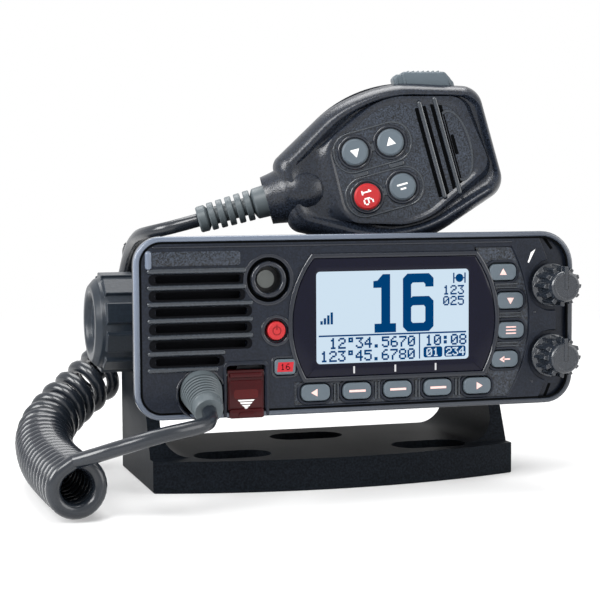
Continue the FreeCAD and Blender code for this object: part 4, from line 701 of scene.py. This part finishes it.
def strip(left, right, low, high):
    """The outline of a rectangle with sharp corners."""
    return [(left, low), (right, low), (right, high), (left, high)]


def boxed(place, wide, high, radius):
    """The outline of a rectangle with round corners about its middle, from half its sides."""
    return rounded(place[0] - wide, place[0] + wide, place[1] - high, place[1] + high, radius)


def printed(outlines, front, proud=0.02):
    """Printed marks, one to each outline, that stand just proud of a key's front."""
    return joined([plate([points], front - 0.1, front + proud) for points in outlines])


LEGENDS = {
    "left_key": [triangle(-0.3, 0, 1.5, 180)],
    "right_key": [triangle(0.3, 0, 1.5, 0)],
    "up_key": [triangle(0, -0.2, 1.5, 90)],
    "down_key": [triangle(0, 0.2, 1.5, 270)],
    "menu_key": [strip(-1.9, 1.9, z - 0.22, z + 0.22) for z in (-1.1, 0, 1.1)],
    "clear_key": [triangle(-0.9, 0, 1.25, 180), strip(-0.8, 1.9, -0.25, 0.25)],
}
for name in ("first_soft_key", "second_soft_key", "third_soft_key"):
    LEGENDS[name] = [strip(-2.9, 2.9, -0.38, 0.38)]


def middle_of(node):
    """Where a bare piece's middle lies on the face."""
    low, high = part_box(node)
    return (low.x + high.x) / 2 / MM, (low.z + high.z) / 2 / MM - FACE_HIGH


pockets, wells = [], []
for name, outlines in LEGENDS.items():
    dress(key_rubber, name)
    place = middle_of(name)
    legend = printed([moved(points, *place) for points in outlines], KEY_FRONT)
    put(name + "_legend", legend, key_ink, name, "key", FACE)
    walls = [boxed(place, 6.4, 4.2, 3.5), boxed(place, 5.35, 3.15, 2.6)]
    pockets.append(plate(walls, PANEL - 0.2, PANEL + 0.62, ease=0.4))
    wells.append(boxed(place, 5.9, 3.7, 3.1))
on_bezel("key_pockets", joined(pockets), grained_abs)

# Pairs of thin webs part the keys: upright ones in the row, and level ones in the arc.
WEB, WEB_SIDES, WEB_ROUND = 0.6, (-0.75, 0.45), 0.28
webs = []
for side in WEB_SIDES:
    for across in (-9.3, 5.4, 20.0, 34.7):
        left = across + side
        web = rounded(left, left + WEB, -26.3, -20.2, WEB_ROUND)
        webs.append(plate([web], -1, -0.1, ease=0.25))
    for across, up in ((53.2, 11.2), (54.7, 1.1), (53.7, -9.2)):
        web = rounded(across - 4.6, across + 4.2, up + side, up + side + WEB, WEB_ROUND)
        webs.append(plate([web], -1, -0.2, ease=0.25))
on_bezel("panel_webs", joined(webs), lit_ridge_abs)
# The panel's grain is a sheet with an opening round each key.
PANEL_RADIUS, PANEL_LEFT, PANEL_LOW, PANEL_HIGH = 49.4, -23.8, -27.15, 24.7
panel_edge = cut_disc(
    PANEL_RADIUS,
    [((PANEL_LEFT, 0), (-1, 0)), ((0, PANEL_LOW), (0, -1)), ((0, PANEL_HIGH), (0, 1))],
)
panel_grain = plate([panel_edge, *wells], PANEL - 0.2, PANEL + 0.06)
on_bezel("panel_grain", panel_grain, coarse_abs)

dress(red_rubber, "power_key", "alarm_button")
dress(key_rubber, "call_key")
power = middle_of("power_key")
on_bezel("power_ring", washer(power, 5.4, 4.0, -0.6, 0.35, 0.5), polished_abs)
power_mark = joined([
    washer(power, 1.55, 1.2, KEY_FRONT - 0.1, KEY_FRONT + 0.02, count=32),
    printed([moved(strip(-0.2, 0.2, 0.3, 2.0), *power)], KEY_FRONT, 0.03),
])
put("power_mark", power_mark, power_ink, "power_key", "red_key", FACE)
call = middle_of("call_key")
call_ring = plate([boxed(call, 4.8, 3.7, 2.0), boxed(call, 3.95, 2.9, 1.5)], -0.5, 0.3, ease=0.3)
on_bezel("call_ring", call_ring, polished_abs)
SLANTED = [(-2.9, -1.6), (2.5, -1.6), (2.9, 1.6), (-2.5, 1.6)]
label = printed([moved(SLANTED, *call)], KEY_FRONT)
put("call_label", label, label_red, "call_key", "key", FACE)


def sixteen(left, high, cell, pitch, out):
    """A plain printed 16 from its top left corner."""
    shape = bmesh.new()
    for place, digit in enumerate("16"):
        dot_rows(shape, DIGITS[digit], left + place * pitch, high, cell, out)
    return shape


numbers = sixteen(call[0] - 1.7, call[1] + 1.1, 0.3, 1.8, KEY_FRONT + 0.03)
put("call_number", numbers, shade_and_ink_abs, "call_key", "key", FACE)

# ---- Covered button ----
# A spring cover of dark red polycarbonate guards the alarm button. It is hinged at its top, has a
# finger tab at its foot, and lies inside a raised moulded frame.

# Tinted polycarbonate: glossy, deep red, and brighter over the button.
cover_red = surface("dark_red_tinted_polycarbonate", "38060a", 0.1, shade=0.35, level=0.2)
glow_red = surface("lit_red_tinted_polycarbonate", "4a0b0b", 0.12, shade=0.3, level=0.2)
cover_ink = surface("white_pad_printed_ink", "f0f0ee", 0.5, shade=0.02, level=0.2)
COVER_FRONT, RIM_FRONT, COVER_SIDES = -0.4, 0.38, (-46.7, -34.8)
dress(cover_red, "button_cover")
GUARD = [
    (-48.6, -30.0, 0.2), (-47.5, -30.0, 0.2), (-47.5, -12.9, 1.2), (-34.0, -12.9, 1.2),
    (-34.0, -30.0, 0.2), (-32.9, -30.0, 0.2), (-32.9, -11.4, 2.2), (-48.6, -11.4, 2.2),
]
on_bezel("guard_frame", plate([outline(GUARD, 5)], LET_IN, 0.65, ease=0.4), grained_abs)
glow_sides = rounded(-44.9, -36.6, -24.0, -21.0, 0.9)
glow_patch = plate([glow_sides], COVER_FRONT + 0.2, COVER_FRONT + 0.36)
put("cover_glow", glow_patch, glow_red, "cover", "cover", FACE)
face, lip = rounded(*COVER_SIDES, -29.7, -17.9, 0.8), rounded(*COVER_SIDES, -30.5, -27.4, 0.8)
tab, barrel = rounded(-43.6, -37.9, -30.3, -28.4, 0.8), rounded(-46.4, -35.1, -17.0, -15.4, 0.6)
cover_face = joined([
    plate([face], COVER_FRONT - 0.2, COVER_FRONT + 0.35, ease=0.3),
    plate([lip], RIM_FRONT, RIM_FRONT + 0.45, ease=0.3),
    plate([strip(-46.2, -35.3, -28.2, -27.6)], COVER_FRONT, RIM_FRONT + 0.2),
    plate([tab], RIM_FRONT, RIM_FRONT + 0.85, ease=0.3),
    plate([barrel], COVER_FRONT, COVER_FRONT + 0.8, ease=0.4),
])
put("cover_face", cover_face, cover_red, "cover", "cover", FACE)
# The arrow is three stripes that narrow to a point.
ARROW, STRIPE, TAPER = -40.75, 0.55, 0.5
stripes = []
for up, half in ((-24.4, 2.9), (-25.25, 2.2), (-26.1, 1.5)):
    low, foot = up - STRIPE, half - TAPER
    stripe = [(-foot, low), (foot, low), (half, up), (-half, up)]
    stripes.append(moved(stripe, ARROW, 0))
stripes.append(triangle(ARROW, -27.15, 0.9, 270))
arrow = joined([plate([points], COVER_FRONT + 0.3, COVER_FRONT + 0.37) for points in stripes])
put("cover_arrow", arrow, cover_ink, "cover", "cover", FACE)

# ---- Volume and squelch knobs ----
# Two ABS knobs, moulded with ribs for wet fingers and pushed onto steel shafts. A white wedge that
# swells to the right shows which way the upper one turns up.

# Their fine grain keeps a long highlight on each rib, with a faint painted glint on its peaks.
knob_abs = surface(
    "knob_moulded_abs", "20252c", 0.24, grain=0.8, depth=0.012, level=0.7, peak_glint=0.1
)
eased("volume_knob", knob_abs, "volume", "charcoal", 0.25)
eased("squelch_knob", knob_abs, "squelch", "charcoal", 0.25)
dress(stainless, "volume_shaft", "squelch_shaft")
wedge = plate([[(60.9, 19.3), (61.4, 19.2), (63.8, 23.9), (62.1, 22.8)]], -0.1, 0.05)
on_bezel("volume_wedge", wedge, cover_ink)
KNOB_X, KNOB_FRONT = 70.3, 11.3
for name, up in (("volume", 11.3), ("squelch", -13.5)):
    ring = washer((0, 0), 4.55, 3.9, -0.1, 0.12, 0.1)
    bmesh.ops.translate(ring, verts=ring.verts, vec=(KNOB_X, up, KNOB_FRONT))
    put(name + "_face_ring", ring, knob_abs, name, "charcoal", FACE)
# The strip behind the knobs ends at foot and head in a slant, drawn as a black bar of painted shade.
STRIP_FRONT = -1.47
SLANTS = (
    [(67.2, -29.0, 0.2), (68.4, -29.0, 0.2), (70.7, -23.6, 0.2), (69.6, -23.4, 0.2)],
    [(66.4, 28.6, 0.2), (70.2, 23.6, 0.2), (71.2, 24.0, 0.2), (67.6, 28.8, 0.2)],
)
strip_edge_shades = [plate([outline(slant, 2)], STRIP_FRONT - 0.23, STRIP_FRONT) for slant in SLANTS]
on_bezel("strip_edge_shades", joined(strip_edge_shades), shade_and_ink_abs)
DIMPLES = ((63.6, 1.9), (62.6, -22.4))
dimples = [plate([ring_of(*place, 0.55, 16)], -0.1, 0.3, ease=0.25) for place in DIMPLES]
on_bezel("strip_dots", joined(dimples), polished_abs)

# ---- Microphone ----
# The hand microphone is two ABS shells that meet at a rubber seal. Its front has a polished rim and
# a hollow, whose sunk floor holds four rubber keys, two ribs and an oval over the capsule.
YAW, LEAN = radians(14), radians(15.5)
sideways, upwards = Vector((cos(YAW), -sin(YAW), 0)), Vector((0, 0, 1))
ALONG = sideways * cos(LEAN) + upwards * sin(LEAN)
ACROSS = upwards * cos(LEAN) - sideways * sin(LEAN)
MIC_OUT = ALONG.cross(ACROSS)
MIC_AT = Vector((-25.2, -22.0, 100.1)) * MM
# Places on the microphone are given in mm along it, across it and out of its face.
MIC = Matrix.Translation(MIC_AT) @ (
    Matrix((ALONG * MM, ACROSS * MM, MIC_OUT * MM)).transposed().to_4x4()
)


def mic_outline(inset):
    """The microphone's outline, drawn in by an inset that is smaller at its head."""
    start, end = 6.5 + inset, 83.5 - inset * 0.3
    start_v, crown, end_v = 12.3 - inset * 0.6, 32 - inset * 0.85, 18.5 - inset * 0.5
    return outline(
        [(start, -start_v, 5), (43, -crown, 45 - inset), (end, -end_v, 7), (end, end_v, 7),
         (43, crown, 45 - inset), (start, start_v, 5)],
        10,
    )


# The ridge runs round the hollow, and the floor lies inside it.
RIDGE = [
    (25, -14.5, 8), (51, -22.6, 20), (80, -9.2, 6), (76.4, 16.6, 6), (50, 24, 20), (26, 13.8, 8),
]
FLOOR = [
    (27.2, -13.4, 7), (51, -20.4, 18), (75, -9.0, 6), (73, 13.8, 6), (51, 21.8, 18), (28, 12.5, 7),
]
MIC_FLOOR = 6.9


def blended(one, other, share):
    """The outline that lies that share of the way from one outline to another."""
    return [(x + (u - x) * share, y + (v - y) * share) for (x, y), (u, v) in zip(one, other)]


def draped(steps):
    """A skin over outlines that each have their own height, closed over the last one."""
    shape = bmesh.new()
    before = None
    for points, out in steps:
        loop = [shape.verts.new((x, y, out)) for x, y in points]
        edges = [shape.edges.new(pair) for pair in zip(loop, loop[1:] + loop[:1])]
        if before:
            bmesh.ops.bridge_loops(shape, edges=before + edges)
        before = edges
    bmesh.ops.triangle_fill(shape, use_beauty=True, use_dissolve=False, edges=before)
    bmesh.ops.recalc_face_normals(shape, faces=shape.faces)
    return shape


foot, ridge, floor = mic_outline(6.4), outline(RIDGE, 10), outline(FLOOR, 10)
# The skin climbs its outer wall by insets, then falls into the hollow and rises to the ridge.
WALL = ((0, 0.4), (0.4, 2.6), (1.2, 4.5), (2.3, 6.0), (3.5, 7.0), (4.7, 7.5), (5.6, 7.4), (6.4, 6.8))
steps = [(mic_outline(inset), out) for inset, out in WALL]
for share, out in ((0.15, 6.0), (0.35, 5.3), (0.6, 5.2), (0.8, 6.1), (0.93, 7.2), (1.0, 7.6)):
    steps.append((blended(foot, ridge, share), out))
for share, out in ((0.3, 7.65), (0.6, 7.4), (0.85, 7.0), (1.0, MIC_FLOOR)):
    steps.append((blended(ridge, floor, share), out))
# Spark-eroded ABS: satin, with a glitter where it turns to the light, partly a painted glint on its
# grain's peaks.
glossy_abs = surface(
    "spark_grained_abs", "171c25", 0.27, grain=0.7, depth=0.07, level=0.4, peak_glint=0.8
)
mic_rear = surface(
    "grained_abs_rear_shell", "171c25", 0.3, grain=0.7, depth=0.05, level=0.3, peak_glint=0.6
)


def on_mic(name, shape, finish, **more):
    """A piece of the microphone's front."""
    put(name, shape, finish, "mic", "charcoal", MIC, **more)


def on_floor(outlines, low, high, ease=0.0):
    """A plate on the microphone's sunk floor, with its heights given from that floor."""
    return plate(outlines, MIC_FLOOR + low, MIC_FLOOR + high, ease)


on_mic("mic_front_skin", draped(steps), glossy_abs, crease=40, instead=["mic_front_shell"])
on_mic("mic_floor", on_floor([floor], -0.3, 0.02), coarse_abs)
dress(mic_rear, "mic_rear_shell")
dress(gasket_rubber, "mic_seal")
dress(circuit_board, "mic_board")
dress(stainless, "mic_capsule", "hanger_stud", "mic_screws")

MIC_KEYS = {
    "mic_down_key": (35.4, 8.0), "mic_up_key": (48.2, 8.0), "mic_red_key": (35.4, -8.0),
    "mic_grey_key": (48.2, -8.0),
}
dress(key_rubber, "mic_down_key", "mic_up_key", "mic_grey_key")
dress(red_rubber, "mic_red_key")
outer, inner = [[ring_of(*place, size) for place in MIC_KEYS.values()] for size in (6.1, 5.0)]
rings = [on_floor(pair, -0.1, 0.75, 0.5) for pair in zip(outer, inner)]
on_mic("mic_key_rings", joined(rings), polished_abs)
# Short bars part the keys, and a rounded frame runs round each pair.
BARS = (
    (40.7, 42.9, 6.6, 9.4), (40.7, 42.9, -9.4, -6.6), (32.6, 38.0, -0.8, 0.8),
    (45.6, 51.0, -0.8, 0.8),
)
raised = [on_floor([rounded(*sides, 0.5)], -0.1, 0.6, 0.4) for sides in BARS]
for v in (-8.0, 8.0):
    frame = [boxed((41.8, v), 14.2, 7.2, 6.8), boxed((41.8, v), 13.4, 6.5, 6.1)]
    raised.append(on_floor(frame, -0.1, 0.4, 0.3))
RIBS, RIB_HIGH = (61.5, 67.0), 1.3
for u in RIBS:
    raised.append(on_floor([rounded(u - 0.75, u + 0.75, -16.0, 19.0, 0.7)], -0.2, RIB_HIGH, 0.6))
on_mic("mic_ribs", joined(raised), lit_ridge_abs)
# A black strip of painted shade stands in for the groove along each side of each rib, and one more
# for the slot by the capsule.
lefts = [u + side for u in RIBS for side in (-2.0, 0.7)]
grooves = [on_floor([rounded(u, u + 1.3, -15.2, 17.0, 0.5)], -0.2, 0.05) for u in lefts]
grooves.append(on_floor([rounded(69.1, 70.3, -2.4, 4.8, 0.55)], -0.2, 0.06))
on_mic("mic_groove_shade", joined(grooves), shade_and_ink_abs)
# The lip over the capsule is an oval ring whose side by the ribs is cut off straight.
VOICE_CUT, VOICE_X, VOICE_Y = 68.2, 69.8, 0.8
lip = []
for wide, tall in ((5.6, 12.7), (4.9, 11.9)):
    oval = [(VOICE_X + x * wide, VOICE_Y + y * tall) for x, y in ring_of(0, 0, 1)]
    lip.append([(max(VOICE_CUT, x), y) for x, y in oval if x > VOICE_CUT - 0.5])
on_mic("mic_voice_lip", on_floor(lip, -0.2, 0.35), lit_ridge_abs)

key_front = max((v.co - MIC_AT).dot(MIC_OUT) for v in bare["mic_red_key"].data.vertices) / MM
for name, turn in (("mic_down_key", 270), ("mic_up_key", 90)):
    mark = printed([triangle(*MIC_KEYS[name], 1.9, turn)], key_front, 0.03)
    put(name + "_mark", mark, cover_ink, name, "key", MIC)
LINES = (strip(-1.9, 1.9, 0.5, 1.1), strip(-1.0, 1.0, -1.0, -0.4))
mark = printed([moved(line, *MIC_KEYS["mic_grey_key"]) for line in LINES], key_front, 0.03)
put("mic_grey_key_mark", mark, cover_ink, "mic_grey_key", "key", MIC)
numbers = sixteen(-2.9, 1.75, 0.5, 3.2, key_front + 0.03)
bmesh.ops.rotate(numbers, verts=numbers.verts, matrix=Matrix.Rotation(radians(-90), 3, "Z"))
bmesh.ops.translate(numbers, verts=numbers.verts, vec=(*MIC_KEYS["mic_red_key"], 0))
put("mic_red_key_mark", numbers, cover_ink, "mic_red_key", "red_key", MIC)

# ---- Talk key ----
# A soft grey rubber key, moulded over a rocker that is held between the shells at the microphone's
# upper edge. Small grip ridges run along its top.

# Soft rubber moulded over plastic is dull and slightly rough.
talk_rubber = surface("grey_overmoulded_rubber", "4c565d", 0.42, grain=0.5, depth=0.03, level=0.35)
TALK_LOW, TALK_HIGH = -8.4, 1.6
PAD = [
    (55.7, 22, 0.3), (75.7, 15, 0.3), (76.0, 22.2, 1), (74.4, 25.4, 1.5), (57.2, 30.3, 1),
    (55.7, 29.2, 1),
]
HUMP = [
    (58.8, 24, 0.3), (75.0, 18, 0.3), (75.2, 23.8, 1), (73.8, 26.6, 1.5), (59.4, 30.6, 1.2),
    (58.7, 29.7, 0.6),
]
parts = [
    plate([outline(PAD, 5)], TALK_LOW, TALK_HIGH, ease=1.1, steps=4),
    plate([outline(HUMP, 5)], TALK_LOW + 1, TALK_HIGH + 0.7, ease=1.0, steps=4),
]
for step in range(7):
    u, v = 61.6 + step * 1.7, 30.0 - step * 0.46
    parts.append(plate([rounded(u - 0.4, u + 0.4, v - 1, v + 0.35, 0.3)], -6.4, 0.4, ease=0.3))
put(
    "talk_skin", joined(parts), talk_rubber, "talk", "talk_key", MIC, instead=["ptt_button"],
    crease=40,
)

# ---- Boots of the cord ----
# Both ends of the cord leave through grey PVC boots. Each is moulded round the cord in rings, so
# that it bends with it, and is clamped in the wall that it comes through.

# Soft moulded PVC has a slightly waxy shine.
boot_rubber = surface("grey_moulded_pvc", "525a5e", 0.4, grain=0.6, depth=0.012, level=0.35)


def turned(profile, count=64):
    """A solid of revolution about its own Z from (radius, height) points."""
    shape = bmesh.new()
    line = [shape.verts.new((radius, 0, height)) for radius, height in profile]
    edges = [shape.edges.new(pair) for pair in zip(line, line[1:])]
    bmesh.ops.spin(
        shape, geom=line + edges, cent=(0, 0, 0), axis=(0, 0, 1), angle=2 * pi,
        steps=count, use_merge=True, use_duplicate=False,
    )
    bmesh.ops.remove_doubles(shape, verts=shape.verts, dist=0.001)
    bmesh.ops.recalc_face_normals(shape, faces=shape.faces)
    return shape


def ringed(count, start, pitch, radius, taper, root, share=0.68):
    """The part of a boot's profile that is cut into rings, each that share of the pitch wide."""
    profile = []
    for n in range(count):
        low, wide = start + n * pitch, radius - n * taper
        high = low + pitch * share
        profile += [
            (root, low), (wide - 0.3, low), (wide, low + 0.3), (wide, high - 0.3),
            (wide - 0.3, high), (root, high),
        ]
    return profile


RELIEF_START, RELIEF_LENGTH, CORD_OUT = 3.5, 27.2, -6.0
relief = turned([
    (0, -1), (5.9, -1), (5.9, 0.5), (5.75, 1.0), (5.5, 6.0), (5.2, 6.4),
    *ringed(5, 7.4, 3.35, 5.45, 0.12, 3.2),
    (4.4, 23.9), (4.75, 24.3), (4.7, 26.7), (4.3, RELIEF_LENGTH), (0, RELIEF_LENGTH),
])
relief_turn = Matrix.Rotation(radians(-90), 4, "Y")
relief_place = MIC @ Matrix.Translation((RELIEF_START, 0, CORD_OUT)) @ relief_turn
put("mic_boot", relief, boot_rubber, "mic", "boot", relief_place, instead=["mic_relief"])
collar = turned([
    (0, -4), (8.9, -4), (9.0, -1), (8.9, -0.4), (8.5, 0.1), (7.4, 0.2), (6.5, 0), (6.1, -0.6),
    (0, -0.6),
])
put("mic_collar", collar, glossy_abs, "mic", "charcoal", relief_place)
# The collar runs back over the hollow as a hood. Each of its rings is along, out and radius.
HOOD = (
    (1.5, -6.0, 8.6), (4.0, -5.0, 9.0), (7.0, -2.9, 9.6), (10.0, -1.5, 9.8), (14.0, -1.0, 9.4),
    (17.5, -1.0, 8.6), (20.5, -1.0, 7.3), (23.0, -0.8, 5.6),
)
hood = draped([(ring_of(-out, 0, radius), along) for along, out, radius in HOOD])
hood_place = MIC @ Matrix.Rotation(radians(90), 4, "Y")
put("mic_hood", hood, glossy_abs, "mic", "charcoal", hood_place, crease=60)

GLAND, GLAND_OUT, DROOP, GLAND_LENGTH = (-56.0, -21.9), 1.37, radians(25), 10.4
boot = turned([
    (0, -5), (7.0, -5), (7.0, -1.4),
    *ringed(7, -1.2, 1.15, 6.9, 0.24, 5.0),
    (4.8, 7.0), (5.1, 7.3), (4.95, 9.6), (4.6, GLAND_LENGTH), (0, GLAND_LENGTH),
])
boot_place = FACE @ Matrix.Translation((*GLAND, GLAND_OUT)) @ Matrix.Rotation(DROOP, 4, "X")
put("case_boot", boot, boot_rubber, "radio", "boot", boot_place, instead=["cord_gland"])
on_bezel("gland_ring", washer(GLAND, 8.7, 7.75, -0.5, 0.35, 0.35), polished_abs)
# A black ring of painted shade stands in for the shaded well round the boot.
on_bezel("gland_well", washer(GLAND, 7.8, 5.0, -1.6, -1.45), shade_and_ink_abs)

# ---- Cord ----
# The microphone cord has a charcoal polyurethane jacket. It leaves the bezel through its boot, runs
# to a tight coil by the bracket, and comes up behind the hand knob to the microphone.

# Extruded polyurethane is smooth, with a bright line along each turn.
cord_skin = surface(
    "charcoal_polyurethane_jacket", "1b2027", 0.22, grain=1.4, depth=0.008, level=0.5
)
CORD_RADIUS, COIL_RADIUS = 2.5, 7.8
LEAD = (
    (-56, -66.8, 33.2), (-56.3, -70.9, 31.6), (-59.2, -75.8, 30.2), (-65.8, -79.4, 29.6),
    (-73.6, -81.3, 28.7), (-82, -81, 26.6), (-89.5, -78.5, 24.2), (-95.5, -74.5, 21.8),
    (-99.5, -71.2, 20.2),
)
COIL_LINE = (
    (-99.5, -70, 11.2), (-101, -42, 11.2), (-101.5, -12, 12.2), (-99, 14, 16.5), (-90, 30, 23),
    (-78, 39, 30.5), (-69, 45, 37),
)
TIGHT_PITCH, LOOSE_PITCH, LOOSE_FROM, LOOSE_OVER, COIL_END = 5.1, 7.8, 78.0, 8, 130.0
FIRST_TURN, POINTS_A_TURN = radians(118), 30
# A jacket has no sharp edge, not even at its ends, so its crease lies past any angle.
NO_CREASE = 181


def curved(points, kind, radius=0.0):
    """A curve with those control points as a mesh: a bare line, or a jacket of that radius."""
    curve = bpy.data.curves.new("cord_line", "CURVE")
    curve.dimensions = "3D"
    curve.resolution_u, curve.bevel_resolution = 24, 3
    curve.bevel_depth, curve.use_fill_caps = radius, True
    spline = curve.splines.new(kind)
    spline.points.add(len(points) - 1)
    for control, point in zip(spline.points, points):
        control.co = (*point, 1)
    spline.order_u, spline.use_endpoint_u = 3, True
    holder = bpy.data.objects.new("cord_line", curve)
    mesh = bpy.data.meshes.new_from_object(holder)
    bpy.data.objects.remove(holder)
    bpy.data.curves.remove(curve)
    return mesh


def followed(points):
    """The smooth line that a cord takes past its supports, as close points in mm."""
    mesh = curved(points, "NURBS")
    line = [v.co.copy() for v in mesh.vertices]
    bpy.data.meshes.remove(mesh)
    return line


def reach(line):
    """How long a line of points is."""
    return sum((b - a).length for a, b in zip(line, line[1:]))


def coiled(line):
    """The line of a curly cord round a smooth middle line: close turns, then looser ones."""
    gaps = [(b - a).length for a, b in zip(line, line[1:])]
    turns, angle, travelled, done, start = [], FIRST_TURN, 0.0, 0.0, 0
    while travelled < min(COIL_END, sum(gaps) - 0.5):
        while start < len(line) - 2 and done + gaps[start] < travelled:
            done += gaps[start]
            start += 1
        here, ahead = line[start], line[start + 1]
        middle = here + (ahead - here).normalized() * (travelled - done)
        behind, beyond = line[max(start - 2, 0)], line[min(start + 3, len(line) - 1)]
        along = (beyond - behind).normalized()
        up = (Vector((0, 0, 1)) - along * along.z).normalized()
        right = along.cross(up)
        turns.append(middle + (right * cos(angle) + up * sin(angle)) * COIL_RADIUS)
        loose = min(1, max(0, (travelled - LOOSE_FROM) / LOOSE_OVER))
        pitch = TIGHT_PITCH + (LOOSE_PITCH - TIGHT_PITCH) * loose
        angle += 2 * pi / POINTS_A_TURN
        travelled += pitch / POINTS_A_TURN
    return turns


def jacket(name, line, instead):
    """A round jacket along a line of close points. It is given no body to ride on."""
    mesh = curved([point * MM for point in line], "POLY", CORD_RADIUS * MM)
    shape = bmesh.new()
    shape.from_mesh(mesh)
    bpy.data.meshes.remove(mesh)
    bmesh.ops.remove_doubles(shape, verts=shape.verts, dist=0.001 * MM)
    bmesh.ops.recalc_face_normals(shape, faces=shape.faces)
    return put(name, shape, cord_skin, None, "cord", instead=instead, crease=NO_CREASE)


turns = coiled(followed(COIL_LINE))
into = (turns[0] - turns[1]).normalized()
lead_line = followed([*LEAD, turns[0] + into * 3.5, turns[0]])
first_cord = lead_line[:-1] + turns

away = (turns[-1] - turns[-2]).normalized()
mic_end = [c / MM for c in MIC @ Vector((RELIEF_START - RELIEF_LENGTH + 0.1, 0, CORD_OUT))]
TAIL = (
    (-53.2, -8.9, 91.7), (-60.5, -3.4, 89.7), (-63.4, 7, 88.3),
    (-63.5, 19, 85.5), (-63.5, 29, 80), (-64, 37, 71), (-65.5, 41, 60), (-67, 43, 51),
)
tail_line = followed([mic_end, *TAIL, turns[-1] + away * 7, turns[-1] + away * 0.01])

curly = jacket("curly_cord", first_cord, ["cord_lead", "cord_coil"])
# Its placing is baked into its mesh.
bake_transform(curly)
straight = jacket("cord_to_microphone", tail_line, ["cord_tail"])
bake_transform(straight)
